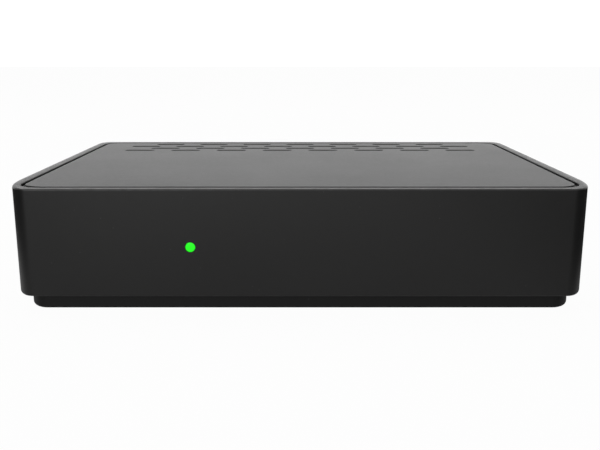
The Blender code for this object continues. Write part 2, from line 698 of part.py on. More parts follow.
def make_base_tray():
    tray = plan_block("base_tray", PLINTH_INSET, PLINTH_BOTTOM, TRAY_TOP, tray_black, bottom_edge=PLINTH_EDGE)
    hollow = plan_block("tray_hollow", PLINTH_INSET + TRAY_WALL, TRAY_FLOOR, TRAY_TOP + OVERRUN)
    panel_seat = box(
        "panel_seat",
        (-PANEL_WIDTH / 2 - JOINT_GAP, PANEL_INNER - JOINT_GAP, SHELL_BOTTOM),
        (PANEL_WIDTH / 2 + JOINT_GAP, CASE_REAR, TRAY_TOP + OVERRUN),
    )
    cut(tray, hollow, panel_seat)
    rib = box(
        "panel_rib",
        (-WINDOW_WIDTH / 2, RIB_FRONT, TRAY_FLOOR - TRAY_FLOOR_THICKNESS / 2),
        (WINDOW_WIDTH / 2, PANEL_INNER - JOINT_GAP, TRAY_TOP),
    )
    inside_floor = TRAY_FLOOR - TRAY_FLOOR_THICKNESS / 2
    posts = pillars("case_posts", case_screw_places(), CASE_POST_RADIUS, inside_floor, TRAY_TOP)
    standoffs = pillars("standoffs", board_screw_places(), STANDOFF_RADIUS, inside_floor, STANDOFF_TOP)
    join(tray, rib, posts, standoffs)
    front_wall_middle = CASE_FRONT + PLINTH_INSET + TRAY_WALL / 2
    for index, x in enumerate(spread(2, FRONT_BOARD_WIDTH * FRONT_POST_SPREAD_SHARE)):
        holder = box(
            f"front_board_post_{index + 1}",
            (FRONT_BOARD_X + x - FRONT_POST_WIDTH / 2, front_wall_middle, inside_floor),
            (FRONT_BOARD_X + x + FRONT_POST_WIDTH / 2, FRONT_POST_END, TRAY_FLOOR + FRONT_POST_HEIGHT),
        )
        join(tray, holder)
    board_slot = box(
        "front_board_slot",
        (
            FRONT_BOARD_X - FRONT_BOARD_WIDTH / 2 - JOINT_GAP,
            FRONT_BOARD_FACE - JOINT_GAP,
            TRAY_FLOOR + FRONT_SLOT_FLOOR,
        ),
        (
            FRONT_BOARD_X + FRONT_BOARD_WIDTH / 2 + JOINT_GAP,
            FRONT_BOARD_BACK + JOINT_GAP,
            TRAY_FLOOR + FRONT_POST_HEIGHT + OVERRUN,
        ),
    )
    counterbores = pillars(
        "counterbores", case_screw_places(), COUNTERBORE_RADIUS, PLINTH_BOTTOM - OVERRUN, SCREW_SEAT
    )
    clearance_holes = pillars(
        "case_clearance_holes",
        case_screw_places(),
        CASE_SCREW_SHANK_RADIUS + JOINT_GAP,
        SCREW_SEAT - OVERRUN,
        TRAY_TOP + OVERRUN,
        steps=SMALL_ROUND_STEPS,
    )
    board_pilots = pillars(
        "board_pilot_holes",
        board_screw_places(),
        BOARD_SCREW_SHANK_RADIUS + JOINT_GAP,
        BOARD_TOP - BOARD_SCREW_LENGTH - JOINT_GAP,
        STANDOFF_TOP + OVERRUN,
        steps=SMALL_ROUND_STEPS,
    )
    recess_top = PLINTH_BOTTOM + FOOT_RECESS
    recesses = pillars(
        "foot_recesses", foot_places(), FOOT_RADIUS + JOINT_GAP, PLINTH_BOTTOM - OVERRUN, recess_top
    )
    slots = [
        slot_outline(x, CASE_MIDDLE + y, FLOOR_VENT_LENGTH, FLOOR_VENT_WIDTH)
        for x in spread(FLOOR_VENT_COLUMNS, FLOOR_VENT_PITCH)
        for y in spread(FLOOR_VENT_ROWS, FLOOR_VENT_ROW_SPACING)
    ]
    floor_middle = PLINTH_BOTTOM + TRAY_FLOOR_THICKNESS / 2
    vents = prism("floor_vents", slots, TRAY_FLOOR_THICKNESS + 2 * OVERRUN, (0, 0, floor_middle))
    cut(tray, board_slot, counterbores, clearance_holes, board_pilots, recesses, vents)


def make_rear_panel():
    panel = box(
        "rear_panel",
        (-PANEL_WIDTH / 2, PANEL_INNER, PANEL_BOTTOM),
        (PANEL_WIDTH / 2, PANEL_OUTER, PANEL_TOP),
        tray_black,
    )
    near = PANEL_INNER - OVERRUN
    far = PANEL_OUTER + OVERRUN

    def hole(name, x, z, width, height):
        return box(
            name,
            (x - width / 2 - JOINT_GAP, near, z - height / 2 - JOINT_GAP),
            (x + width / 2 + JOINT_GAP, far, z + height / 2 + JOINT_GAP),
        )

    def round_hole(name, x, z, radius):
        return rods(name, [((x, near, z), (x, far, z))], radius + JOINT_GAP)

    cut(
        panel,
        hole("switch_hole", SWITCH_X, SWITCH_Z, SWITCH_BODY_WIDTH, SWITCH_BODY_HEIGHT),
        hole("scart_hole", SCART_X, SEAT + SCART_HEIGHT / 2, SCART_WIDTH, SCART_HEIGHT),
        hole("usb_hole", USB_X, SEAT + USB_HEIGHT / 2, USB_WIDTH, USB_HEIGHT),
        hole("hdmi_hole", HDMI_X, SEAT + HDMI_HEIGHT / 2, HDMI_WIDTH, HDMI_HEIGHT),
        round_hole("jack_hole", JACK_X, SEAT + JACK_AXIS_HEIGHT, JACK_COLLAR_RADIUS),
        round_hole("aerial_in_hole", AERIAL_IN_X, AERIAL_Z, SOCKET_BARREL_RADIUS),
        round_hole("aerial_out_hole", AERIAL_OUT_X, AERIAL_Z, PLUG_BARREL_RADIUS),
    )


def make_feet():
    """Rubber discs in the tray's recesses, with a rounded lower edge."""
    top = FOOT_RECESS - JOINT_GAP
    profile = [
        (0, top),
        (FOOT_RADIUS, top),
        (FOOT_RADIUS, FOOT_EDGE - FOOT_DROP),
        (FOOT_RADIUS - FOOT_EDGE, -FOOT_DROP),
        (0, -FOOT_DROP),
    ]
    corners = ("front_left", "rear_left", "front_right", "rear_right")
    for corner, (x, y) in zip(corners, foot_places()):
        turned(f"foot_{corner}", profile, (x, y, PLINTH_BOTTOM), material=rubber)


def screw_profile(head_radius, head_height, shank_radius, length):
    """A low domed head above Z = 0 and a plain shank with a tapered tip below it."""
    crown = head_height * HEAD_CROWN_SHARE
    return [
        (0, head_height),
        (head_radius - crown, head_height),
        (head_radius, head_height - crown),
        (head_radius, 0),
        (shank_radius, 0),
        (shank_radius, shank_radius - length),
        (shank_radius * SCREW_TIP_SHARE, -length),
        (0, -length),
    ]


def drive_crosses(name, places, head_radius, face, depth_into):
    """A pair of crossed slots for each screw, sunk from its face."""
    length_share, width_share, depth_share = DRIVE_SLOT_SHARES
    length = head_radius * length_share
    width = head_radius * width_share
    inner = face + depth_into * depth_share
    outer = face - depth_into
    low, high = sorted((inner, outer))
    tools = []
    for index, (x, y) in enumerate(places):
        along = Vector((length / 2, width / 2, 0))
        across = Vector((width / 2, length / 2, 0))
        bottom = Vector((x, y, low))
        top = Vector((x, y, high))
        first = box(f"{name}_{index + 1}_along", bottom - along, top + along)
        second = box(f"{name}_{index + 1}_across", bottom - across, top + across)
        tools.append((first, second))
    return tools


def make_screws(name, corners, places, sizes, seat, rotation, head_side):
    head_radius, head_height, shank_radius, length = sizes
    profile = screw_profile(head_radius, head_height, shank_radius, length)
    face = seat + head_side * head_height
    crosses = drive_crosses(name + "_drive", places, head_radius, face, -head_side * head_height)
    for corner, (x, y), cross in zip(corners, places, crosses):
        screw = turned(
            f"{name}_{corner}",
            profile,
            (x, y, seat),
            rotation=rotation,
            material=steel,
            steps=SMALL_ROUND_STEPS,
        )
        cut(screw, *cross)


def make_fasteners():
    corners = ("front_left", "rear_left", "front_right", "rear_right")
    case_sizes = (
        CASE_SCREW_HEAD_RADIUS,
        CASE_SCREW_HEAD_HEIGHT,
        CASE_SCREW_SHANK_RADIUS,
        CASE_SCREW_LENGTH,
    )
    board_sizes = (
        BOARD_SCREW_HEAD_RADIUS,
        BOARD_SCREW_HEAD_HEIGHT,
        BOARD_SCREW_SHANK_RADIUS,
        BOARD_SCREW_LENGTH,
    )
    make_screws(
        "case_screw", corners, case_screw_places(), case_sizes, SCREW_SEAT - JOINT_GAP, TOP_TO_FLOOR, -1
    )
    make_screws("board_screw", corners, board_screw_places(), board_sizes, SEAT, (0, 0, 0), 1)


def make_main_board():
    board = box(
        "main_board",
        (-BOARD_WIDTH / 2, BOARD_FRONT, BOARD_BOTTOM),
        (BOARD_WIDTH / 2, BOARD_REAR, BOARD_TOP),
        board_green,
    )
    holes = pillars(
        "board_screw_holes",
        board_screw_places(),
        BOARD_SCREW_SHANK_RADIUS + JOINT_GAP,
        BOARD_BOTTOM - OVERRUN,
        BOARD_TOP + OVERRUN,
        steps=SMALL_ROUND_STEPS,
    )
    cut(board, holes)


def on_board(shares, lift=0):
    """A place on the main board, from shares of its half width and half depth."""
    return (shares[0] * BOARD_WIDTH / 2, BOARD_MIDDLE + shares[1] * BOARD_DEPTH / 2, SEAT + lift)


def make_board_components():
    chips = (
        ("main_processor", PROCESSOR_SIZE, PROCESSOR_PLACE_SHARES),
        ("memory_chip", MEMORY_SIZE, MEMORY_PLACE_SHARES),
        ("flash_chip", FLASH_SIZE, FLASH_PLACE_SHARES),
    )
    for name, size, shares in chips:
        chip = block(name, size, on_board(shares), chip_black)
        soften(chip, CHIP_EDGE, 1)
    crystal = block("crystal", CRYSTAL_SIZE, on_board(CRYSTAL_PLACE_SHARES), steel)
    soften(crystal, CRYSTAL_EDGE)
    for index, shares in enumerate(INDUCTOR_PLACE_SHARES):
        inductor = block(f"inductor_{index + 1}", INDUCTOR_SIZE, on_board(shares), ferrite)
        soften(inductor, INDUCTOR_EDGE, 1)
    capacitors = [(LARGE_CAPACITOR, shares) for shares in LARGE_CAPACITOR_PLACE_SHARES]
    capacitors += [(SMALL_CAPACITOR, shares) for shares in SMALL_CAPACITOR_PLACE_SHARES]
    for index, ((radius, height), shares) in enumerate(capacitors):
        profile = [
            (0, height),
            (radius - CAPACITOR_EDGE, height),
            (radius, height - CAPACITOR_EDGE),
            (radius, 0),
            (0, 0),
        ]
        turned(f"capacitor_{index + 1}", profile, on_board(shares), material=sleeve)


def make_heatsink():
    width, depth, height = HEATSINK_SIZE
    base = on_board(PROCESSOR_PLACE_SHARES, PROCESSOR_SIZE[2] + JOINT_GAP)
    sink = block("heatsink", (width, depth, HEATSINK_BASE), base, aluminium)
    pitch = (width - HEATSINK_FIN - 2 * HEATSINK_FIN_INSET) / (HEATSINK_FIN_COUNT - 1)
    for index, x in enumerate(spread(HEATSINK_FIN_COUNT, pitch)):
        fin = block(
            f"heatsink_fin_{index + 1}",
            (HEATSINK_FIN, depth - 2 * HEATSINK_FIN_INSET, height - HEATSINK_BASE / 2),
            (base[0] + x, base[1], base[2] + HEATSINK_BASE / 2),
        )
        join(sink, fin)


def make_tuner():
    """An open can whose rear face carries the aerial barrels, and a cover that laps its other three sides."""
    low = Vector((TUNER_X - TUNER_WIDTH / 2, TUNER_BACK - TUNER_DEPTH, SEAT))
    high = Vector((TUNER_X + TUNER_WIDTH / 2, TUNER_BACK, SEAT + TUNER_HEIGHT))
    skirt = TUNER_WALL + JOINT_GAP
    can_low = low + Vector((skirt, skirt, 0))
    can_high = high - Vector((skirt, 0, skirt))
    can = box("tuner_can", can_low, can_high, tinplate)
    wall = Vector((TUNER_WALL, TUNER_WALL, TUNER_WALL))
    hollow = box("tuner_hollow", can_low + wall, (*(can_high - wall).xy, can_high.z + OVERRUN))
    cut(can, hollow)
    cover = box("tuner_cover", (low.x, low.y, high.z - TUNER_WALL - TUNER_COVER_SKIRT), high, tinplate)
    inside = box(
        "tuner_cover_hollow",
        (low.x + TUNER_WALL, low.y + TUNER_WALL, high.z - TUNER_WALL - TUNER_COVER_SKIRT - OVERRUN),
        (high.x - TUNER_WALL, high.y + OVERRUN, high.z - TUNER_WALL),
    )
    cut(cover, inside)


def cup_profile(outer, inner, mouth, floor, back):
    """A round cup, open at its top."""
    return [(0, floor), (inner, floor), (inner, mouth), (outer, mouth), (outer, back), (0, back)]


def make_aerial_connectors():
    """Barrels along Y, their heights measured from the panel's outer face, and what stands in them."""
    back = TUNER_BACK + JOINT_GAP - PANEL_OUTER
    floor = back + BARREL_BACK
    for name, x, radius in (
        ("antenna_socket", AERIAL_IN_X, SOCKET_BARREL_RADIUS),
        ("antenna_loop_plug", AERIAL_OUT_X, PLUG_BARREL_RADIUS),
    ):
        turned(
            name,
            cup_profile(radius, radius - BARREL_WALL, BARREL_REACH, floor, back),
            (x, PANEL_OUTER, AERIAL_Z),
            rotation=TOP_TO_REAR,
            material=nickel,
        )
    tip = BARREL_REACH - AERIAL_CORE_SHORT
    foot = floor + JOINT_GAP
    contact = cup_profile(AERIAL_CONTACT_RADIUS, AERIAL_CONTACT_BORE, tip, foot + BARREL_WALL, foot)
    turned(
        "antenna_socket_contact",
        contact,
        (AERIAL_IN_X, PANEL_OUTER, AERIAL_Z),
        rotation=TOP_TO_REAR,
        material=nickel,
        steps=SMALL_ROUND_STEPS,
    )
    pin = [
        (0, tip),
        (AERIAL_PIN_RADIUS / 2, tip),
        (AERIAL_PIN_RADIUS, tip - AERIAL_PIN_RADIUS),
        (AERIAL_PIN_RADIUS, foot),
        (0, foot),
    ]
    turned(
        "antenna_loop_pin",
        pin,
        (AERIAL_OUT_X, PANEL_OUTER, AERIAL_Z),
        rotation=TOP_TO_REAR,
        material=nickel,
        steps=SMALL_ROUND_STEPS,
    )


def hdmi_outline(width, height, shrink):
    """A rectangle with its lower corners cut away, drawn in by a wall."""
    half_x = width / 2 - shrink
    half_y = height / 2 - shrink
    chamfer = height * HDMI_CHAMFER_SHARE
    return [
        (half_x, half_y),
        (-half_x, half_y),
        (-half_x, chamfer - half_y),
        (chamfer - half_x, -half_y),
        (half_x - chamfer, -half_y),
        (half_x, chamfer - half_y),
    ]


def make_hdmi_socket():
    face = PANEL_OUTER + SOCKET_PROUD
    middle_z = SEAT + HDMI_HEIGHT / 2
    outline = hdmi_outline(HDMI_WIDTH, HDMI_HEIGHT, 0)
    socket = prism(
        "hdmi_socket", [outline], HDMI_DEPTH, (HDMI_X, face - HDMI_DEPTH / 2, middle_z), FACING_REAR, tinplate
    )
    hollow_depth = HDMI_DEPTH - SOCKET_BACK
    hollow = prism(
        "hdmi_hollow",
        [hdmi_outline(HDMI_WIDTH, HDMI_HEIGHT, SOCKET_WALL)],
        hollow_depth + OVERRUN,
        (HDMI_X, face - (hollow_depth - OVERRUN) / 2, middle_z),
        FACING_REAR,
    )
    cut(socket, hollow)
    half_width = HDMI_WIDTH * TONGUE_WIDTH_SHARE / 2
    box(
        "hdmi_tongue",
        (HDMI_X - half_width, face - hollow_depth + JOINT_GAP, middle_z - TONGUE_THICKNESS / 2),
        (HDMI_X + half_width, face - TONGUE_SHORT, middle_z + TONGUE_THICKNESS / 2),
        socket_black,
    )


def make_usb_socket():
    face = PANEL_OUTER + SOCKET_PROUD
    middle_z = SEAT + USB_HEIGHT / 2
    socket = box(
        "usb_socket",
        (USB_X - USB_WIDTH / 2, face - USB_DEPTH, SEAT),
        (USB_X + USB_WIDTH / 2, face, SEAT + USB_HEIGHT),
        tinplate,
    )
    hollow_back = face - USB_DEPTH + SOCKET_BACK
    hollow = box(
        "usb_hollow",
        (USB_X - USB_WIDTH / 2 + SOCKET_WALL, hollow_back, SEAT + SOCKET_WALL),
        (USB_X + USB_WIDTH / 2 - SOCKET_WALL, face + OVERRUN, SEAT + USB_HEIGHT - SOCKET_WALL),
    )
    cut(socket, hollow)
    half_width = USB_WIDTH * TONGUE_WIDTH_SHARE / 2
    tongue_z = middle_z + USB_HEIGHT * USB_TONGUE_RISE_SHARE
    box(
        "usb_tongue",
        (USB_X - half_width, hollow_back + JOINT_GAP, tongue_z - TONGUE_THICKNESS / 2),
        (USB_X + half_width, face - TONGUE_SHORT, tongue_z + TONGUE_THICKNESS / 2),
        white_nylon,
    )


def scart_outline(shrink):
    """A rectangle whose right-hand corners are cut away unequally, drawn in by a wall."""
    half_x = SCART_WIDTH / 2 - shrink
    half_y = SCART_HEIGHT / 2 - shrink
    lower = SCART_HEIGHT * SCART_CORNER_SHARES[0]
    upper = SCART_HEIGHT * SCART_CORNER_SHARES[1]
    return [
        (-half_x, -half_y),
        (half_x - lower, -half_y),
        (half_x, lower - half_y),
        (half_x, half_y - upper),
        (half_x - upper, half_y),
        (-half_x, half_y),
    ]


def make_scart_socket():
    """A block with a shroud round a core, and two rows of contact slots in the core."""
    face = PANEL_OUTER + SCART_PROUD
    middle = (SCART_X, SEAT + SCART_HEIGHT / 2)
    socket = box(
        "scart_socket",
        (SCART_X - SCART_WIDTH / 2, face - SCART_DEPTH, SEAT),
        (SCART_X + SCART_WIDTH / 2, face, SEAT + SCART_HEIGHT),
        socket_black,
    )
    moat = prism(
        "scart_moat",
        [scart_outline(SCART_RIM)],
        SCART_MOAT_DEPTH + OVERRUN,
        (middle[0], face - (SCART_MOAT_DEPTH - OVERRUN) / 2, middle[1]),
        FACING_REAR,
    )
    cut(socket, moat)
    core_depth = SCART_MOAT_DEPTH + SCART_RIM / 2
    core = prism(
        "scart_core",
        [scart_outline(SCART_RIM + SCART_MOAT)],
        core_depth - SCART_RIM,
        (middle[0], face - SCART_RIM - (core_depth - SCART_RIM) / 2, middle[1]),
        FACING_REAR,
    )
    join(socket, core)
    slot_width, slot_height = SCART_SLOT_SIZE
    core_width = SCART_WIDTH - 2 * (SCART_RIM + SCART_MOAT) - SCART_HEIGHT * SCART_CORNER_SHARES[0]
    pitch = core_width * SCART_SLOT_SPAN_SHARE / (SCART_SLOT_COUNT - 1)
    shift = -SCART_HEIGHT * SCART_CORNER_SHARES[0] / 2
    rise = SCART_HEIGHT * SCART_SLOT_RISE_SHARE
    slot_front = face - SCART_RIM
    bm = bmesh.new()
    for z in (-rise, rise):
        for x in spread(SCART_SLOT_COUNT, pitch):
            made = bmesh.ops.create_cube(bm, size=1)
            size = (slot_width, SCART_SLOT_DEPTH + OVERRUN, slot_height)
            bmesh.ops.scale(bm, vec=size, verts=made["verts"])
            bmesh.ops.translate(bm, vec=(x + shift, 0, z), verts=made["verts"])
    location = (middle[0], slot_front - (SCART_SLOT_DEPTH - OVERRUN) / 2, middle[1])
    slots = place("scart_slots", mesh_of("scart_slots", bm), location, None)
    cut(socket, slots)


def make_power_inlet():
    """A block behind the panel, with a collar in the panel's hole and a centre pin in its bore."""
    block_face = PANEL_INNER - JOINT_GAP
    collar_face = PANEL_OUTER + JACK_COLLAR_PROUD
    axis_z = SEAT + JACK_AXIS_HEIGHT
    jack = box(
        "dc_jack",
        (JACK_X - JACK_WIDTH / 2, block_face - JACK_DEPTH, SEAT),
        (JACK_X + JACK_WIDTH / 2, block_face, SEAT + JACK_HEIGHT),
        socket_black,
    )
    collar = rods(
        "jack_collar",
        [((JACK_X, block_face - OVERRUN, axis_z), (JACK_X, collar_face, axis_z))],
        JACK_COLLAR_RADIUS,
    )
    bore_floor = collar_face - JACK_BORE_DEPTH
    bore = rods(
        "jack_bore",
        [((JACK_X, bore_floor, axis_z), (JACK_X, collar_face + OVERRUN, axis_z))],
        JACK_BORE_RADIUS,
    )
    join(jack, collar)
    cut(jack, bore)
    rods(
        "dc_jack_pin",
        [((JACK_X, bore_floor + JOINT_GAP, axis_z), (JACK_X, collar_face - JACK_PIN_SHORT, axis_z))],
        JACK_PIN_RADIUS,
        nickel,
        SMALL_ROUND_STEPS,
    )


def make_power_switch():
    """The housing that snaps into the panel, its two legs down to the board, and the rocker at ON."""

    def centred(name, width, height, back, front, material=None):
        low = (SWITCH_X - width / 2, back, SWITCH_Z - height / 2)
        high = (SWITCH_X + width / 2, front, SWITCH_Z + height / 2)
        return box(name, low, high, material)

    housing = centred(
        "power_switch_housing", BEZEL_WIDTH, BEZEL_HEIGHT, PANEL_OUTER + JOINT_GAP, BEZEL_OUTER, socket_black
    )
    soften(housing, BEZEL_EDGE, 1)
    body_front = BEZEL_OUTER - BEZEL_THICKNESS / 2
    body = centred("switch_body", SWITCH_BODY_WIDTH, SWITCH_BODY_HEIGHT, SWITCH_BACK, body_front)
    join(housing, body)
    cavity_back = PIVOT_Y - ROCKER_ROOT_DEPTH - 2 * JOINT_GAP
    cavity = centred(
        "switch_cavity", SWITCH_CAVITY_WIDTH, SWITCH_CAVITY_HEIGHT, cavity_back, BEZEL_OUTER + OVERRUN
    )
    half_body = SWITCH_BODY_WIDTH / 2 + OVERRUN
    pivot_hole = rods(
        "pivot_hole",
        [((SWITCH_X - half_body, PIVOT_Y, SWITCH_Z), (SWITCH_X + half_body, PIVOT_Y, SWITCH_Z))],
        PIVOT_RADIUS + JOINT_GAP,
        steps=SMALL_ROUND_STEPS,
    )
    cut(housing, cavity, pivot_hole)
    for side, name in ((-1, "switch_leg_left"), (1, "switch_leg_right")):
        middle = SWITCH_X + side * SWITCH_BODY_WIDTH / 2 * SWITCH_LEG_SPREAD_SHARE
        rear = SWITCH_BACK - JOINT_GAP
        leg = box(
            name,
            (middle - SWITCH_LEG_WIDTH / 2, rear - SWITCH_LEG_REACH, SWITCH_Z - SWITCH_LEG_THICKNESS / 2),
            (middle + SWITCH_LEG_WIDTH / 2, rear, SWITCH_Z + SWITCH_LEG_THICKNESS / 2),
            tinplate,
        )
        drop = box(
            name + "_drop",
            (middle - SWITCH_LEG_WIDTH / 2, rear - SWITCH_LEG_REACH, SEAT),
            (
                middle + SWITCH_LEG_WIDTH / 2,
                rear - SWITCH_LEG_REACH + SWITCH_LEG_THICKNESS,
                SWITCH_Z + SWITCH_LEG_THICKNESS / 2,
            ),
        )
        join(leg, drop)


def make_power_rocker():
    half = ROCKER_HEIGHT / 2
    root_half = half * ROCKER_ROOT_SHARE
    shoulder = ROCKER_TIP_REACH - ROCKER_SKIRT
    outline = [
        (ROCKER_TIP_REACH, half),
        (shoulder, half),
        (-ROCKER_ROOT_DEPTH, root_half),
        (-ROCKER_ROOT_DEPTH, -root_half),
        (shoulder, -half),
        (ROCKER_TIP_REACH, -half),
        (ROCKER_FACE_REACH, 0),
    ]
    pivot = bpy.data.objects.new("rocker_pivot", None)
    pivot.location = (SWITCH_X, PIVOT_Y, SWITCH_Z)
    pivot.rotation_euler = (ROCKER_TILT, 0, 0)
    parts.objects.link(pivot)
    rocker = prism("power_rocker", [outline], ROCKER_WIDTH, (0, 0, 0), FACING_SIDE, socket_black)
    rocker.parent = pivot
    stub = ROCKER_WIDTH / 2 + JOINT_GAP + SWITCH_WALL * PIVOT_STUB_SHARE
    axle = rods("rocker_axle", [((-stub, 0, 0), (stub, 0, 0))], PIVOT_RADIUS, steps=SMALL_ROUND_STEPS)
    axle.parent = pivot
    join(rocker, axle)


def make_front_board():
    box(
        "front_board",
        (FRONT_BOARD_X - FRONT_BOARD_WIDTH / 2, FRONT_BOARD_FACE, FRONT_BOARD_BOTTOM),
        (FRONT_BOARD_X + FRONT_BOARD_WIDTH / 2, FRONT_BOARD_BACK, FRONT_BOARD_BOTTOM + FRONT_BOARD_HEIGHT),
        board_green,
    )
    width, depth, height = LED_SIZE
    box(
        "status_led",
        (LAMP_X - width / 2, LED_FRONT, LAMP_Z - height / 2),
        (LAMP_X + width / 2, LED_BACK, LAMP_Z + height / 2),
        led_white,
    )
    pipe = [
        (0, CASE_FRONT),
        (LIGHT_PIPE_RADIUS, CASE_FRONT),
        (LIGHT_PIPE_RADIUS, FLANGE_FRONT),
        (LIGHT_PIPE_FLANGE_RADIUS, FLANGE_FRONT),
        (LIGHT_PIPE_FLANGE_RADIUS, FLANGE_BACK),
        (0, FLANGE_BACK),
    ]
    profile = [(radius, -y) for radius, y in pipe]
    turned("light_pipe", profile, (LAMP_X, 0, LAMP_Z), rotation=(math.pi / 2, 0, 0), material=clear_green)


def make_ir_receiver():
    width, depth, height = IR_SIZE
    x = LAMP_X + IR_OFFSET
    back = FRONT_BOARD_FACE - JOINT_GAP
    receiver = box(
        "ir_receiver",
        (x - width / 2, back - depth, LAMP_Z - height / 2),
        (x + width / 2, back, LAMP_Z + height / 2),
        lens_dark,
    )
    bm = bmesh.new()
    steps = SMALL_ROUND_STEPS
    bmesh.ops.create_uvsphere(bm, u_segments=steps, v_segments=steps, radius=IR_DOME_RADIUS)
    bmesh.ops.scale(bm, vec=(1, IR_DOME_FLATTEN_SHARE, 1), verts=bm.verts)
    dome = place("ir_dome", mesh_of("ir_dome", bm), (x, back - depth, LAMP_Z), None)
    join(receiver, dome)


def make_link():
    """A flat lead that leaves the front board's header level and turns down into the main board's plug."""
    header_width, header_depth, header_height = LINK_HEADER_SIZE
    plug_width, plug_depth, plug_height = LINK_PLUG_SIZE
    bend_z = SEAT + plug_height + JOINT_GAP
    header_z = bend_z + LINK_BEND_RADIUS
    header_front = FRONT_BOARD_BACK + JOINT_GAP
    header_back = header_front + header_depth
    box(
        "front_link_header",
        (FRONT_BOARD_X - header_width / 2, header_front, header_z - header_height / 2),
        (FRONT_BOARD_X + header_width / 2, header_back, header_z + header_height / 2),
        white_nylon,
    )
    cable_start = header_back + JOINT_GAP
    plug_y = cable_start + LINK_BEND_RADIUS
    block("front_link_plug", LINK_PLUG_SIZE, (FRONT_BOARD_X, plug_y, SEAT), white_nylon)
    inner = LINK_BEND_RADIUS - LINK_CABLE_THICKNESS / 2
    outer = LINK_BEND_RADIUS + LINK_CABLE_THICKNESS / 2
    turns = [math.pi / 2 * step / LINK_BEND_STEPS for step in range(LINK_BEND_STEPS + 1)]
    outline = [(outer * math.sin(turn), outer * math.cos(turn)) for turn in turns]
    outline += [(inner * math.sin(turn), inner * math.cos(turn)) for turn in reversed(turns)]
    prism(
        "front_link_cable",
        [outline],
        LINK_CABLE_WIDTH,
        (FRONT_BOARD_X, cable_start, bend_z),
        FACING_SIDE,
        grey_ribbon,
    )


make_upper_shell()
make_top_panel()
make_base_tray()
make_rear_panel()
make_feet()
make_fasteners()
make_main_board()
make_board_components()
make_heatsink()
make_tuner()
make_aerial_connectors()
make_hdmi_socket()
make_usb_socket()
make_scart_socket()
make_power_inlet()
make_power_switch()
make_power_rocker()
make_front_board()
make_ir_receiver()
make_link()
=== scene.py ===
import json
import math

import bmesh
import bpy
import numpy as np
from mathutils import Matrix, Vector


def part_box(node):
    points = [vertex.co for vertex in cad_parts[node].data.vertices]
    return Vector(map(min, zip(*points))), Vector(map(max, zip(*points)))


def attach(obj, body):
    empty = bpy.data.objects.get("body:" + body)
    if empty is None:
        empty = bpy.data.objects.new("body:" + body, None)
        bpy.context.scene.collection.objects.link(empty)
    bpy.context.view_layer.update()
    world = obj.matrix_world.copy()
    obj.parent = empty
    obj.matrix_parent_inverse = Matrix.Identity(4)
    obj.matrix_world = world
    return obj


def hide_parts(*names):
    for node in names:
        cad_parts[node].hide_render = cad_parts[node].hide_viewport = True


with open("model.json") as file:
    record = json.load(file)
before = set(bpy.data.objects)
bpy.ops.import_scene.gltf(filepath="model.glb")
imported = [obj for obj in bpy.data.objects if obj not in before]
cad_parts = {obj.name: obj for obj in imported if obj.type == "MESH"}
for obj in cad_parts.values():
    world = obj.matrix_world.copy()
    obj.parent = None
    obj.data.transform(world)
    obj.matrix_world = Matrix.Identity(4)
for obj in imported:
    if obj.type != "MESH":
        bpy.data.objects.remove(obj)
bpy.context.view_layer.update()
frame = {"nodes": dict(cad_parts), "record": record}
nodes = frame["nodes"]
print("frame loaded:", len(nodes), "nodes")


camera = {
    "lens": 45.363,
    "tiltDown": 12.881,
    "place": (0, -0.26655, 0.07352),
}

studio = {
    "floorHalf": 4.0,
    "floorColour": (0.80, 0.80, 0.80, 1),
    "floorGlow": 0.97,           # share of plain white that is seen, the rest takes the shadow
    "floorGloss": 0.38,          # how pale the floor is in a mirrored view
    "floorFall": 0.95,           # how much darker it is left and right of the object
    "floorRise": 1.20,           # how much paler it is well in front of it
    "worldLight": 0.32,          # what falls on the object
    "aheadSeen": 1.43,           # mirrored from behind the object
    "leftSeen": 0.05,
    "rightSeen": 0.01,
    "backSeen": 0.95,            # mirrored from behind the camera
    "upSeen": 0.75,
    # where each fade begins and how soft it is
    "floorShift": 0.02, "offFade": (0.09, 0.07), "floorAhead": (0.15, 0.20),
    "aheadFade": (0.45, 0.5), "horizon": 1.60, "horizonFall": 4.4, "behindFade": (0.55, 0.4),
    "sideFade": (-0.5, 1.0), "upFade": (0.25, 0.6),
    "lamps": {
        "overheadLamp": {"place": (-0.10, 0.25, 0.95), "aim": (0, 0, 0.02), "size": (1.1, 0.8), "power": 4.2},
        "frontLamp": {"place": (-0.38, -0.95, 0.24), "aim": (-0.04, -0.05, 0.02),
                      "size": (0.5, 0.3), "power": 1.4},
    },
}


# A socket that can be written in sums: each operator adds a Math node with the same meaning.
class Wire:
    def __init__(self, graph, socket):
        self.graph = graph
        self.socket = socket

    def maths(self, operation, first, second=None, clamp=False):
        sockets = [first] if second is None else [first, second]
        return self.graph.add("ShaderNodeMath", {"operation": operation, "use_clamp": clamp}, sockets)

    def __add__(self, other):
        return self.maths("ADD", self, other)

    def __radd__(self, other):
        return self.maths("ADD", other, self)

    def __sub__(self, other):
        return self.maths("SUBTRACT", self, other)

    def __rsub__(self, other):
        return self.maths("SUBTRACT", other, self)

    def __mul__(self, other):
        return self.maths("MULTIPLY", self, other)

    def __rmul__(self, other):
        return self.maths("MULTIPLY", other, self)

    def __pow__(self, other):
        return self.maths("POWER", self, other)

    def most(self, other):
        return self.maths("MAXIMUM", self, other)

    def above(self, level, soft):
        # 0 below the level, 1 past level + soft, straight in between
        return self.maths("DIVIDE", self - level, soft, clamp=True)

    def size(self):
        return self.maths("ABSOLUTE", self)


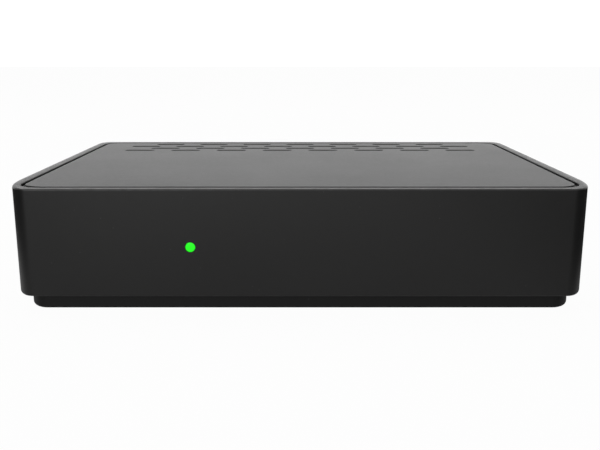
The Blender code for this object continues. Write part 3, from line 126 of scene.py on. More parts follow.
# A node tree with one way to add a node: its type, its settings, and the values or links of its sockets.
class Graph:
    def __init__(self, tree):
        self.tree = tree

    def add(self, kind, settings=None, sockets=None, out=0):
        node = self.tree.nodes.new(kind)
        for name, value in (settings or {}).items():
            setattr(node, name, value)
        pairs = sockets.items() if isinstance(sockets, dict) else enumerate(sockets or [])
        for name, value in pairs:
            if value is None:
                continue
            if isinstance(value, Wire):
                self.tree.links.new(value.socket, node.inputs[name])
            else:
                node.inputs[name].default_value = value
        return Wire(self, node.outputs[out]) if len(node.outputs) else node

    def blend(self, share, first, second):
        # colour = first * (1 - share) + second * share
        return self.add("ShaderNodeMix", {"data_type": "RGBA"}, {0: share, 6: first, 7: second}, out=2)

    def spot(self):
        return self.add("ShaderNodeTexCoord", out=3)

    def axes(self, place):
        split = self.add("ShaderNodeSeparateXYZ", None, [place])
        return [Wire(self, socket) for socket in split.socket.node.outputs]

    def noise(self, place, grain, detail=3, stretch=(1, 1, 1), rough=0.55):
        # fractal noise whose lumps are about one grain across, in metres
        if stretch != (1, 1, 1):
            place = self.add("ShaderNodeMapping", None, {"Vector": place, "Scale": stretch})
        return self.add("ShaderNodeTexNoise", None,
                        {"Vector": place, "Scale": 1 / grain, "Detail": detail, "Roughness": rough})

    def speckle(self, place, grain):
        return self.add("ShaderNodeTexVoronoi", None, {"Vector": place, "Scale": 1 / grain})

    def mark(self, name):
        return self.add("ShaderNodeAttribute", {"attribute_name": name}, out=2)

    def bump(self, height, depth):
        return self.add("ShaderNodeBump", None, {"Height": height, "Distance": depth, "Strength": 1.0})


def newMaterial(name):
    material = bpy.data.materials.new(name)
    material.use_nodes = True
    material.node_tree.nodes.clear()
    return material, Graph(material.node_tree)


# A colour made darker or lighter, with its alpha.
def shaded(colour, gain, lift=0):
    return tuple(channel * gain + lift for channel in colour) + (1,)


def finishMaterial(material, graph, colour, roughness, normal, **fixed):
    # one Principled BSDF: what varies is linked, what is the same all over is set on its own socket
    sockets = {"Base Color": colour, "Roughness": roughness, "Normal": normal}
    sockets.update({name.replace("_", " "): value for name, value in fixed.items()})
    shader = graph.add("ShaderNodeBsdfPrincipled", None, sockets)
    graph.add("ShaderNodeOutputMaterial", None, {"Surface": shader})
    return material


def makeCamera():
    data = bpy.data.cameras.new("photoCamera")
    data.lens = camera["lens"]
    data.sensor_width = 36
    data.clip_start = 0.01
    data.clip_end = 30
    piece = bpy.data.objects.new("photoCamera", data)
    piece.location = camera["place"]
    piece.rotation_euler = (math.radians(90 - camera["tiltDown"]), 0, 0)
    bpy.context.scene.collection.objects.link(piece)
    bpy.context.scene.camera = piece
    bpy.context.scene.view_settings.view_transform = "Standard"


def seenRays(graph):
    # 1 for rays from the camera, off gloss or through glass
    path = graph.add("ShaderNodeLightPath").socket.node.outputs
    names = ("Is Camera Ray", "Is Glossy Ray", "Is Transmission Ray")
    camera, glossy, through = (Wire(graph, path[name]) for name in names)
    return camera, camera.most(glossy).most(through)


def makeStudio():
    half = studio["floorHalf"]
    mesh = bpy.data.meshes.new("studioFloor")
    square = [(-half, -half, 0), (half, -half, 0), (half, half, 0), (-half, half, 0)]
    mesh.from_pydata(square, [], [(0, 1, 2, 3)])
    floor = bpy.data.objects.new("studioFloor", mesh)
    bpy.context.scene.collection.objects.link(floor)
    material, graph = newMaterial("paleFloor")
    fromCamera, seen = seenRays(graph)
    matte = graph.add("ShaderNodeBsdfDiffuse", None, {"Color": studio["floorColour"]})
    across, along, height = graph.axes(graph.spot())
    off = (across + studio["floorShift"]).size().above(*studio["offFade"])
    ahead = (along * -1).above(*studio["floorAhead"])
    level = studio["floorGloss"] * (1 + ahead * studio["floorRise"]) * (1 - off * studio["floorFall"])
    level = fromCamera.most(seen * level)
    white = graph.add("ShaderNodeEmission", None, {"Color": (1, 1, 1, 1), "Strength": level})
    glow = seen * studio["floorGlow"]
    face = graph.add("ShaderNodeMixShader", None, [glow, matte, white])
    clear = graph.add("ShaderNodeBsdfTransparent")
    under = graph.add("ShaderNodeNewGeometry", out=6)     # seen from below, the floor is clear
    surface = graph.add("ShaderNodeMixShader", None, [under, face, clear])
    graph.add("ShaderNodeOutputMaterial", None, {"Surface": surface})
    mesh.materials.append(material)

    world = bpy.data.worlds.new("studioWorld")
    bpy.context.scene.world = world
    world.use_nodes = True
    world.node_tree.nodes.clear()
    graph = Graph(world.node_tree)
    fromCamera, seen = seenRays(graph)
    way = graph.axes(graph.add("ShaderNodeTexCoord", out=0))
    ahead = way[1].above(*studio["aheadFade"])
    horizon = (studio["horizon"] - way[2].size() * studio["horizonFall"]).most(0)
    behind = (way[1] * -1).above(*studio["behindFade"])
    towardsRight = way[0].above(*studio["sideFade"])
    side = studio["leftSeen"] + towardsRight * (studio["rightSeen"] - studio["leftSeen"])
    level = side + ahead * (horizon * studio["aheadSeen"] - side) + behind * (studio["backSeen"] - side)
    level = level.most(way[2].above(*studio["upFade"]) * studio["upSeen"])
    shown = level.most(fromCamera)
    strength = seen * shown + (1 - seen) * studio["worldLight"]
    sky = graph.add("ShaderNodeBackground", None, {"Color": (1, 1, 1, 1), "Strength": strength})
    graph.add("ShaderNodeOutputWorld", None, {"Surface": sky})

    for name, facts in studio["lamps"].items():
        data = bpy.data.lights.new(name, "AREA")
        data.shape = "RECTANGLE"
        data.size, data.size_y = facts["size"]
        data.energy = facts["power"]
        lamp = bpy.data.objects.new(name, data)
        lamp.location = facts["place"]
        way = Vector(facts["aim"]) - Vector(facts["place"])
        lamp.rotation_euler = way.to_track_quat("-Z", "Y").to_euler()
        bpy.context.scene.collection.objects.link(lamp)


makeCamera()
makeStudio()
print("camera and studio ready")


# Lump sizes in metres, fades as (level, softness), the rest shares of one.
plastic = {
    "cloud": 0.035, "coarse": 6, "hair": 0.0011, "hairStretch": (0.05, 1, 1), "hairFade": (0.64, 0.05),
    "dust": 0.0042, "dustFade": (0.045, -0.02), "dustShare": 0.10, "dustTone": (0.25, 0.25, 0.25, 1),
    "edge": 0.003, "edgeFade": (0.35, 0.4), "rubGain": 2.2, "rubLift": 0.02,
    "cloudRough": 0.05, "coarseRough": 0.05, "edgeRough": 0.08, "coarseBump": 0.6, "hairBump": 0.05,
}


# Moulded plastic: flow clouds in the tone, fine grain in the bump, rubbed edges where the mesh says "edge".
def mouldedPlastic(name, colour, roughness, grain, depth, worn=0.35, scratches=0.015, mottle=0.10, ior=1.46):
    material, graph = newMaterial(name)
    place = graph.spot()
    cloud = graph.noise(place, plastic["cloud"], 3)
    fine = graph.noise(place, grain, 2)
    coarse = graph.noise(place, grain * plastic["coarse"], 3)
    hair = graph.noise(place, plastic["hair"], 2, stretch=plastic["hairStretch"]).above(*plastic["hairFade"])
    dust = graph.speckle(place, plastic["dust"]).above(*plastic["dustFade"])
    edge = graph.mark("edge") * graph.noise(place, plastic["edge"], 4).above(*plastic["edgeFade"])
    dark, light = shaded(colour, 1 - mottle), shaded(colour, 1 + mottle)
    rubbed = shaded(colour, plastic["rubGain"], plastic["rubLift"])
    tone = graph.blend(cloud, dark, light)
    tone = graph.blend(edge * worn, tone, rubbed)
    tone = graph.blend(dust * plastic["dustShare"], tone, plastic["dustTone"])
    rough = roughness + (cloud - 0.5) * plastic["cloudRough"] + (coarse - 0.5) * plastic["coarseRough"]
    rough = rough - edge * plastic["edgeRough"] - hair * scratches
    height = fine + coarse * plastic["coarseBump"] - hair * plastic["hairBump"]
    return finishMaterial(material, graph, tone, rough, graph.bump(height, depth), IOR=ior)


metal = {
    "rolled": 0.0005, "smudge": 0.006, "spots": 0.0016, "spotFade": (0.62, 0.1), "smudgeFade": (0.35, 0.5),
    "dull": 0.62, "rolledRough": 0.16, "smudgeRough": 0.20, "spotRough": 0.12,
}


# Metal: rolled streaks and smudges in the gloss, a little tarnish in the tone.
def workedMetal(name, colour, roughness, streak=(1, 1, 0.08), tarnish=0.25, depth=0.000006):
    material, graph = newMaterial(name)
    place = graph.spot()
    rolled = graph.noise(place, metal["rolled"], 3, stretch=streak)
    smudge = graph.noise(place, metal["smudge"], 4)
    spots = graph.noise(place, metal["spots"], 5).above(*metal["spotFade"])
    stain = smudge.above(*metal["smudgeFade"]) * tarnish + spots * tarnish
    tone = graph.blend(stain, colour + (1,), shaded(colour, metal["dull"]))
    rough = roughness + (rolled - 0.5) * metal["rolledRough"] + (smudge - 0.5) * metal["smudgeRough"]
    rough = rough + spots * metal["spotRough"]
    return finishMaterial(material, graph, tone, rough, graph.bump(rolled, depth), Metallic=1.0)


def softRubber(name):
    material, graph = newMaterial(name)
    place = graph.spot()
    bloom = graph.noise(place, 0.004, 4)
    fine = graph.noise(place, 0.00025, 3)
    tone = graph.blend(bloom.above(0.4, 0.4), (0.017, 0.017, 0.018, 1), (0.045, 0.044, 0.042, 1))
    return finishMaterial(material, graph, tone, 0.78 + (bloom - 0.5) * 0.2, graph.bump(fine, 0.00004))


# Circuit board: solder mask over copper runs, with a few tinned pads.
def circuitBoard(name):
    material, graph = newMaterial(name)
    place = graph.spot()
    cloud = graph.noise(place, 0.02, 3)
    tracks = graph.add("ShaderNodeTexBrick", {"offset": 0.5, "squash": 0.7},
                       {"Vector": place, "Color1": (0, 0, 0, 1), "Color2": (1, 1, 1, 1),
                        "Mortar": (0.5, 0.5, 0.5, 1),
                        "Scale": 240, "Mortar Size": 0.02, "Brick Width": 0.9, "Row Height": 0.16}, out=0)
    fill = graph.add("ShaderNodeTexVoronoi", {"distance": "CHEBYCHEV"}, {"Vector": place, "Scale": 130})
    holes = graph.speckle(place, 0.0031).above(0.10, -0.03)
    copper = (tracks * 0.6 + fill * 0.7).above(0.42, 0.08)
    tone = graph.blend(copper, (0.010, 0.062, 0.026, 1), (0.026, 0.125, 0.050, 1))
    tone = graph.blend(cloud * 0.3, tone, (0.02, 0.09, 0.05, 1))
    tone = graph.blend(holes, tone, (0.50, 0.47, 0.38, 1))
    rough = 0.30 + copper * 0.06 + (cloud - 0.5) * 0.1
    return finishMaterial(material, graph, tone, rough, graph.bump(copper - holes, 0.00003), IOR=1.5)


# Moulded resin of a chip: dark and matt, with flow marks.
def chipResin(name, colour, roughness):
    material, graph = newMaterial(name)
    place = graph.spot()
    cloud = graph.noise(place, 0.006, 3)
    fine = graph.noise(place, 0.00018, 2)
    tone = graph.blend(cloud, shaded(colour, 0.8), shaded(colour, 1.25))
    return finishMaterial(material, graph, tone, roughness + (cloud - 0.5) * 0.15, graph.bump(fine, 0.00002))


# Shrunk sleeve of a can: dark wrap with one pale stripe, and a bare aluminium top above the roll.
def canSleeve(name, topHeight):
    material, graph = newMaterial(name)
    place = graph.spot()
    x, y, z = graph.axes(place)
    wrinkle = graph.noise(place, 0.0015, 3, stretch=(1, 1, 0.3))
    top = z.above(topHeight, 0.0001)
    stripe = (graph.noise(place, 0.004, 0, stretch=(1, 1, 0.01)) - 0.5).size().above(0.1, -0.02) * (1 - top)
    tone = graph.blend(stripe * 0.5, (0.012, 0.014, 0.022, 1), (0.32, 0.33, 0.35, 1))
    tone = graph.blend(top, tone, (0.55, 0.56, 0.58, 1))
    rough = 0.34 + (wrinkle - 0.5) * 0.2
    return finishMaterial(material, graph, tone, rough, graph.bump(wrinkle, 0.00003), Metallic=top)


# Flat cable: fine ribs along it between the wires, and one marked edge wire.
def flatRibbon(name, middle, width, wires):
    material, graph = newMaterial(name)
    place = graph.spot()
    x, y, z = graph.axes(place)
    across = (x - (middle - width / 2)) * (wires / width)
    wave = graph.add("ShaderNodeMath", {"operation": "SINE"}, [across * (2 * math.pi)])
    first = across.above(1.0, -0.05)
    cloud = graph.noise(place, 0.003, 3)
    tone = graph.blend(wave * 0.15 + 0.35 + cloud * 0.2, (0.22, 0.23, 0.25, 1), (0.40, 0.41, 0.43, 1))
    tone = graph.blend(first, tone, (0.35, 0.03, 0.03, 1))
    height = wave + cloud * 0.3
    return finishMaterial(material, graph, tone, 0.5 + (cloud - 0.5) * 0.15, graph.bump(height, 0.00008))


# Lit lens: the lamp behind shines through, a touch weaker at the rim and faintly cloudy.
def litLens(name, centre, radius):
    material, graph = newMaterial(name)
    place = graph.spot()
    x, y, z = graph.axes(place)
    away = ((x - centre[0]) ** 2 + (z - centre[2]) ** 2) ** 0.5
    rim = (away * (1 / radius)).above(0.86, 0.14)
    milk = graph.noise(place, 0.0006, 3)
    shine = graph.blend(rim * 0.6 + milk * 0.08, (0.016, 1.0, 0.012, 1), (0.012, 0.62, 0.010, 1))
    tone = graph.blend(milk, (0.001, 0.10, 0.002, 1), (0.002, 0.14, 0.003, 1))
    return finishMaterial(material, graph, tone, 0.16 + milk * 0.1, graph.bump(milk, 0.00001),
                          Emission_Color=shine, Emission_Strength=1.0, IOR=1.49)


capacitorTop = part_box("capacitor_1")[1].z - 0.0006
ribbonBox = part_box("front_link_cable")
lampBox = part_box("light_pipe")
lampMiddle = ((lampBox[0].x + lampBox[1].x) / 2, lampBox[0].y, (lampBox[0].z + lampBox[1].z) / 2)

finishes = {
    "case_plastic": mouldedPlastic("blackCasePlastic", (0.0118, 0.0116, 0.0114), 0.36, 0.00022, 0.000018),
    # the tray's black is about half the case's: painted shade, darkening the plinth that sits under the
    # shell's overhang
    "tray_plastic": mouldedPlastic("blackTrayPlasticPaintedShade", (0.0062, 0.0061, 0.0061), 0.56, 0.00028, 0.000030,
                                   worn=0.15, ior=1.36),
    "panel_plastic": mouldedPlastic("blackPanelPlastic", (0.0120, 0.0118, 0.0118), 0.50, 0.00024, 0.000024,
                                    worn=0.2),
    "foot_rubber": softRubber("footRubber"),
    "screw_steel": workedMetal("zincScrewSteel", (0.56, 0.57, 0.60), 0.30),
    "circuit_board": circuitBoard("greenCircuitBoard"),
    "chip_resin": chipResin("chipResin", (0.020, 0.020, 0.021), 0.48),
    "tinplate": workedMetal("tinplate", (0.60, 0.60, 0.61), 0.34, tarnish=0.35),
    "ferrite": chipResin("greyFerrite", (0.055, 0.055, 0.058), 0.62),
    "capacitor_sleeve": canSleeve("capacitorSleeve", capacitorTop),
    "heatsink_aluminium": workedMetal("blackenedAluminium", (0.42, 0.43, 0.45), 0.42, streak=(0.08, 1, 1)),
    "plated_metal": workedMetal("nickelPlate", (0.64, 0.62, 0.58), 0.24, tarnish=0.2),
    "contactGold": workedMetal("contactGold", (0.72, 0.53, 0.26), 0.22, tarnish=0.15),
    "socket_plastic": mouldedPlastic("socketPlastic", (0.0150, 0.0150, 0.0155), 0.46, 0.00020, 0.000016,
                                     worn=0.2),
    "white_nylon": mouldedPlastic("whiteNylon", (0.62, 0.60, 0.54), 0.46, 0.0003, 0.00002, worn=0.0),
    "green_lens": litLens("greenLens", lampMiddle, 0.00135),
    "led_body": mouldedPlastic("ledBody", (0.66, 0.70, 0.62), 0.30, 0.0004, 0.00001, worn=0.0),
    "receiver_lens": mouldedPlastic("receiverLens", (0.018, 0.010, 0.016), 0.14, 0.0008, 0.000006,
                                    worn=0.0, scratches=0.02),
    "ribbon": flatRibbon("greyRibbon", (ribbonBox[0].x + ribbonBox[1].x) / 2,
                         ribbonBox[1].x - ribbonBox[0].x, 6),
}

slotOf = {facts["node"]: facts["material_slot"] for facts in frame["record"]["subparts"]}
for name, piece in nodes.items():
    piece.data.materials.clear()
    piece.data.materials.append(finishes[slotOf[name]])
print("finishes ready:", len(finishes))


case = {
    "width": 0.168, "depth": 0.1130, "middleY": -0.0035,
    "bottom": 0.0053, "top": 0.0365,
    "leastCorner": 0.0010, "cornerSteps": 32,
    "wall": 0.0022, "rimWidth": 0.0029, "rimEdge": 0.0005, "rimCrown": 2.2, "innerRimEdge": 0.00018,
    "skirtEdge": 0.0004,
    "ledgeWidth": 0.0050, "ledgeTop": 0.0342, "ledgeBottom": 0.0326,
}

# Three outlines: how far each starts inside the case at the sides and the front, and the radii of its corners
# across and along.
outlines = {
    "case": {"side": 0, "front": 0, "frontCorner": (0.0075, 0.0180), "rearCorner": (0.0045, 0.0045)},
    "groove": {"side": 0.0006, "front": -0.0003,
               "frontCorner": (0.0099, 0.0099), "rearCorner": (0.0099, 0.0099)},
    "plinth": {"side": 0, "front": 0, "frontCorner": (0.0105, 0.0170), "rearCorner": (0.0060, 0.0060)},
}


# Plan outline at an inset: four quarter ellipses joined by straight stretches. A crown draws the sides
# in further. Points run anticlockwise, with close pairs where an arc ends, so that flats shade flat.
def planOutline(inset, kind, crown):
    facts = outlines[kind]
    halfWidth = case["width"] / 2 - inset - crown - facts["side"]
    rear = case["middleY"] + case["depth"] / 2 - inset
    front = case["middleY"] - case["depth"] / 2 + inset + facts["front"]
    turn = np.linspace(0, 1, case["cornerSteps"] + 1)
    stretch = np.array([0.004, 0.02, 0.25, 0.5, 0.75, 0.98, 0.996])
    corners = []
    for sideX, sideY, start in ((1, 1, 0), (-1, 1, 1), (-1, -1, 2), (1, -1, 3)):
        acrossRadius, alongRadius = facts["rearCorner" if sideY > 0 else "frontCorner"]
        radiusX = max(acrossRadius - inset - crown, case["leastCorner"])
        radiusY = max(alongRadius - inset, case["leastCorner"])
        angle = (start + turn) * math.pi / 2
        x = sideX * (halfWidth - radiusX) + radiusX * np.cos(angle)
        y = (rear - radiusY if sideY > 0 else front + radiusY) + radiusY * np.sin(angle)
        corners.append(np.stack([x, y], 1))
    rows = []
    for corner, following in zip(corners, corners[1:] + corners[:1]):
        rows.append(corner)
        rows.append(corner[-1] + stretch[:, None] * (following[0] - corner[-1]))
    return np.concatenate(rows)


# Quarter round from one direction to another about a centre: centre + radius * (cos, sin).
def quarterRound(centre, radius, start, stop, steps=6):
    angle = np.radians(np.linspace(start, stop, steps + 1))
    return np.stack([centre[0] + radius * np.cos(angle), centre[1] + radius * np.sin(angle)], 1)


def meshPiece(name, points, faces, edge=None):
    mesh = bpy.data.meshes.new(name)
    mesh.from_pydata(np.asarray(points, float).tolist(), [], faces)
    if edge is not None:
        mark = mesh.attributes.new("edge", "FLOAT", "POINT")
        mark.data.foreach_set("value", np.asarray(edge, np.float32))
    piece = bpy.data.objects.new(name, mesh)
    bpy.context.scene.collection.objects.link(piece)
    return piece


def gridFaces(rows, columns, closedRows, closedColumns):
    spans = np.arange(rows - (not closedRows)), np.arange(columns - (not closedColumns))
    row, column = np.meshgrid(*spans, indexing="ij")
    nextRow, nextColumn = (row + 1) % rows, (column + 1) % columns
    corners = [row * columns + column, nextRow * columns + column,
               nextRow * columns + nextColumn, row * columns + nextColumn]
    return np.stack(corners, -1).reshape(-1, 4).tolist()


# Marks a stretch of a profile with the outline it follows and how much further in it goes at the sides.
def along(kind, points, crown=0):
    return [(inset, height, kind, crown * inset) for inset, height in points]


# A profile of rows carried round the plan outline. A closed profile makes a ring, an open one a solid whose
# first and last rows are filled.
def caseSweep(name, profile, closed, edgeRows=()):
    rows = []
    for inset, height, kind, crown in profile:
        outline = planOutline(inset, kind, crown)
        rows.append(np.column_stack([outline, np.full(len(outline), height)]))
    points = np.concatenate(rows)
    count = len(rows[0])
    faces = gridFaces(len(rows), count, closed, True)
    if not closed:
        faces.append(list(range(count)))
        faces.append(list(range((len(rows) - 1) * count, len(rows) * count))[::-1])
    edge = np.zeros(len(points))
    for row in edgeRows:
        edge[row * count:(row + 1) * count] = 1
    piece = meshPiece(name, points, faces, edge)
    faceOutwards(piece)
    return piece


def faceOutwards(piece):
    # closes seams and poles, then turns every face outwards
    shape = bmesh.new()
    shape.from_mesh(piece.data)
    bmesh.ops.remove_doubles(shape, verts=shape.verts, dist=2e-7)
    bmesh.ops.recalc_face_normals(shape, faces=shape.faces)
    shape.to_mesh(piece.data)
    shape.free()


def carve(piece, tools, operation="DIFFERENCE"):
    for tool in tools:
        faceOutwards(tool)
        change = piece.modifiers.new(tool.name, "BOOLEAN")
        change.object = tool
        change.operation = operation
        change.solver = "EXACT"
    graph = bpy.context.evaluated_depsgraph_get()
    mesh = bpy.data.meshes.new_from_object(piece.evaluated_get(graph))
    mesh.name = piece.name
    piece.modifiers.clear()
    old = piece.data
    piece.data = mesh
    bpy.data.meshes.remove(old)
    for tool in tools:
        bpy.data.objects.remove(tool, do_unlink=True)


# Smooth shading that keeps flats flat: normals weighted by the area of the faces round a point.
def smoothOver(piece, sharp):
    piece.data.shade_smooth()
    piece.data.set_sharp_from_angle(angle=math.radians(sharp))
    weigh = piece.modifiers.new("weighedNormals", "WEIGHTED_NORMAL")
    weigh.keep_sharp = True
    weigh.weight = 60


# Rods between two points: a circle carried along a straight line, with both ends filled.
def rods(name, ends, radius, steps=48):
    points, faces = [], []
    angle = np.linspace(0, 2 * math.pi, steps, endpoint=False)
    for start, stop in ends:
        start, stop = np.array(start, float), np.array(stop, float)
        along = (stop - start) / np.linalg.norm(stop - start)
        side = np.cross(along, (0, 0, 1) if abs(along[2]) < 0.9 else (1, 0, 0))
        side /= np.linalg.norm(side)
        other = np.cross(along, side)
        ring = radius * (np.cos(angle)[:, None] * side + np.sin(angle)[:, None] * other)
        base = sum(len(block) for block in points)
        points += [start + ring, stop + ring]
        around = np.arange(steps)
        after = (around + 1) % steps
        far = base + steps
        faces += np.stack([base + around, base + after, far + after, far + around], 1).tolist()
        faces += [(base + around[::-1]).tolist(), (base + steps + around).tolist()]
    return meshPiece(name, np.concatenate(points), faces)


# Upright rods over places in plan, between two heights.
def uprights(name, places, low, high, radius, steps=48):
    ends = [((place[0], place[1], low), (place[0], place[1], high)) for place in places]
    return rods(name, ends, radius, steps)


blockCorners = np.array([[0, 0, 0], [1, 0, 0], [1, 1, 0], [0, 1, 0],
                         [0, 0, 1], [1, 0, 1], [1, 1, 1], [0, 1, 1]])
blockSides = np.array([(3, 2, 1, 0), (4, 5, 6, 7), (0, 1, 5, 4), (1, 2, 6, 5), (2, 3, 7, 6), (3, 0, 4, 7)])


def blockPiece(name, low, high):
    low, high = np.array(low, float), np.array(high, float)
    return meshPiece(name, low + blockCorners * (high - low), blockSides.tolist())


# Shades a piece, colours it with its slot's finish, hangs it under its body and hides the solids it stands
# for. With sharp at 0 it isn't smoothed.
def dress(piece, slot, body, *replaced, sharp=40):
    if sharp:
        smoothOver(piece, sharp)
    piece.data.materials.clear()
    piece.data.materials.append(finishes[slot])
    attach(piece, body)
    if replaced:
        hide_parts(*replaced)


window = {"halfWidth": 0.0757, "top": 0.0303}
bosses = {"places": [(-0.0765, -0.042), (-0.0765, 0.023), (0.0765, -0.042), (0.0765, 0.023)],
          "radius": 0.0032, "bottom": 0.0086, "pilot": 0.0017, "pilotTop": 0.0172,
          "rib": 0.0016, "ribReach": 0.0829}
lamp = {"x": -0.031, "z": 0.0198, "hole": 0.00145}
# How far a cut runs past the surface, how far joined pieces overlap, how deep a cut through a wall goes,
# and the spacing of a close pair of rows.
past, overlap, throughWall, hair = 0.001, 0.0008, 0.004, 0.00005


def makeCaseShell():
    bottom, top, wall = case["bottom"], case["top"], case["wall"]
    skirt, rim, inner = case["skirtEdge"], case["rimEdge"], case["innerRimEdge"]
    lip, ledgeIn = case["rimWidth"], case["rimWidth"] + case["ledgeWidth"]
    profile = (
        along("case", quarterRound((skirt, bottom + skirt), skirt, 270, 180))
        + along("case", [(0, bottom + skirt + hair), (0, (bottom + top) / 2), (0, top - rim - hair)])
        + along("case", quarterRound((rim, top - rim), rim, 180, 90, 8), case["rimCrown"])
        + along("groove", [(lip - inner - hair, top)])
        + along("groove", quarterRound((lip - inner, top - inner), inner, 90, 0, 4))
        + along("groove", [(lip, case["ledgeTop"])])
        + along("case", [(ledgeIn, case["ledgeTop"]), (ledgeIn, case["ledgeBottom"])])
        + along("case", [(wall, case["ledgeBottom"]), (wall, bottom)])
    )
    shell = caseSweep("caseShell", profile, True, [*range(0, 6), *range(10, 19)])
    frontFace = case["middleY"] - case["depth"] / 2
    rearFace = case["middleY"] + case["depth"] / 2
    half, reach, rib = window["halfWidth"], bosses["ribReach"], bosses["rib"] / 2
    places, base, joint = bosses["places"], bosses["bottom"], case["ledgeBottom"] + overlap
    carve(shell, [uprights("shellBosses", places, base, joint, bosses["radius"])], "UNION")
    ribs = []
    for index, (x, y) in enumerate(places):
        left, right = sorted((x, math.copysign(reach, x)))
        ribs.append(blockPiece(f"shellRib{index}", (left, y - rib, base), (right, y + rib, joint)))
    carve(shell, ribs, "UNION")
    lampEnds = [((lamp["x"], frontFace - past, lamp["z"]), (lamp["x"], frontFace + throughWall, lamp["z"]))]
    cuts = [
        blockPiece("rearWindow", (-half, rearFace - throughWall, bottom - past),
                   (half, rearFace + past, window["top"])),
        rods("lampHole", lampEnds, lamp["hole"], 64),
        uprights("pilotHoles", places, base - past, bosses["pilotTop"], bosses["pilot"], 24),
    ]
    carve(shell, cuts)
    dress(shell, "case_plastic", "receiver", "upper_shell")


lid = {
    "inset": 0.0042, "flangeInset": 0.0032, "bottom": 0.0345, "grooveFloor": 0.0358, "edge": 0.00014,
    "ventLength": 0.0112, "ventWidth": 0.0025, "pitch": 0.01770, "spacing": 0.0062, "setback": 0.0091,
    "counts": (7, 8, 7, 8), "ventEdge": 0.00025, "middleFill": 0.012, "edgeRow": 0.0006,
}


# A slot's outline drawn out by a spread: two half circles of radius width/2 + spread, joined by straights.
def slotOutline(x, y, length, width, spread=0.0, steps=10):
    angle = np.linspace(-math.pi / 2, math.pi / 2, steps + 1)
    radius = width / 2 + spread
    reach = length / 2 - width / 2
    right = np.stack([x + reach + radius * np.cos(angle), y + radius * np.sin(angle)], 1)
    left = np.stack([x - reach - radius * np.cos(angle), y - radius * np.sin(angle)], 1)
    return np.concatenate([right, left])


# Slot-shaped plugs whose rows of (spread, height) flare out where they leave the surface.
def slotPlugs(name, places, length, width, rows):
    points, faces = [], []
    for x, y in places:
        base = sum(len(block) for block in points)
        rings = [slotOutline(x, y, length, width, spread) for spread, height in rows]
        count = len(rings[0])
        points += [np.column_stack([ring, np.full(count, height)])
                   for ring, (spread, height) in zip(rings, rows)]
        faces += (np.array(gridFaces(len(rings), count, False, True)) + base).tolist()
        last = base + (len(rings) - 1) * count
        faces += [list(range(base, base + count)), list(range(last, last + count))[::-1]]
    return meshPiece(name, np.concatenate(points), faces)


def spread(count, pitch):
    return [(index - (count - 1) / 2) * pitch for index in range(count)]


# Rows of (spread, height) that round a slot's mouth: up to 80 degrees of a quarter circle, then past the
# face. The side is 1 for a mouth that faces up and -1 for one that faces down.
def flareRows(flare, face, side):
    rounded = [(flare * (1 - math.cos(a)), face - side * flare + side * flare * math.sin(a))
               for a in np.radians(np.linspace(0, 80, 5))]
    return rounded + [(flare * 1.2, face + side * 0.0004)]


def makeLid():
    top, edge, inset, middle = case["top"], lid["edge"], lid["inset"], lid["middleFill"]
    flange = lid["flangeInset"]
    profile = along("groove", np.concatenate([
        [(middle, top), (inset + edge + lid["edgeRow"], top)],
        quarterRound((inset + edge, top - edge), edge, 90, 180, 5),
        [(inset, lid["grooveFloor"]), (flange, lid["grooveFloor"])],
        [(flange, lid["bottom"]), (middle, lid["bottom"])],
    ]))
    panel = caseSweep("caseLid", profile, False, range(2, 8))
    rear = case["middleY"] + case["depth"] / 2
    places = [(x, rear - lid["setback"] - row * lid["spacing"])
              for row, count in enumerate(lid["counts"]) for x in spread(count, lid["pitch"])]
    rows = [(0, lid["bottom"] - past), *flareRows(lid["ventEdge"], top, 1)]
    carve(panel, [slotPlugs("ventPlugs", places, lid["ventLength"], lid["ventWidth"], rows)])
    dress(panel, "case_plastic", "receiver", "top_panel")


def middleOf(node):
    low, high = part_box(node)
    return (low + high) / 2


# Many equal blocks in one mesh: every middle plus the eight corners of half a size.
def manyBlocks(name, middles, size):
    middles = np.array(middles, float)
    points = (middles[:, None, :] + (blockCorners - 0.5) * np.array(size)).reshape(-1, 3)
    faces = (blockSides[None] + 8 * np.arange(len(middles))[:, None, None]).reshape(-1, 4)
    return meshPiece(name, points, faces.tolist())


# Lays flat points and a height along an axis: z leaves them flat, y faces them to the rear, x to the side.
def laid(flat, along, axis):
    u, v = flat[:, 0], flat[:, 1]
    w = np.full(len(flat), along)
    return np.stack({"z": (u, v, w), "y": (u, w, v), "x": (w, u, v)}[axis], 1)


# A polygon with each corner turned into an arc: the centre lies on the corner's bisector, and the arc runs
# from one tangent point to the other. Radii may differ from corner to corner.
def roundedPolygon(corners, radii, steps=6):
    corners = np.array(corners, float)
    radii = np.broadcast_to(np.array(radii, float), len(corners))
    rows = []
    for before, corner, after, radius in zip(np.roll(corners, 1, 0), corners, np.roll(corners, -1, 0), radii):
        back = (before - corner) / np.linalg.norm(before - corner)
        ahead = (after - corner) / np.linalg.norm(after - corner)
        half = math.acos(max(-1, min(1, float(back @ ahead)))) / 2
        if radius == 0 or half > 1.57:
            rows.append(corner[None])
            continue
        bisector = (back + ahead) / np.linalg.norm(back + ahead)
        centre = corner + bisector * radius / math.sin(half)
        first = corner + back * radius / math.tan(half) - centre
        last = corner + ahead * radius / math.tan(half) - centre
        start = math.atan2(first[1], first[0])
        turn = (math.atan2(last[1], last[0]) - start + math.pi) % (2 * math.pi) - math.pi
        angle = start + turn * np.linspace(0, 1, steps + 1)
        rows.append(centre + radius * np.stack([np.cos(angle), np.sin(angle)], 1))
    return np.concatenate(rows)


# An outline drawn in by an inset: each point moves along the mean of its two sides' inward normals.
def drawnIn(outline, inset):
    side = np.roll(outline, -1, 0) - outline
    side /= np.linalg.norm(side, axis=1, keepdims=True)
    inward = np.stack([-side[:, 1], side[:, 0]], 1)
    mean = inward + np.roll(inward, 1, 0)
    mean /= np.maximum((mean * inward).sum(1, keepdims=True), 0.3)
    return outline + mean * inset


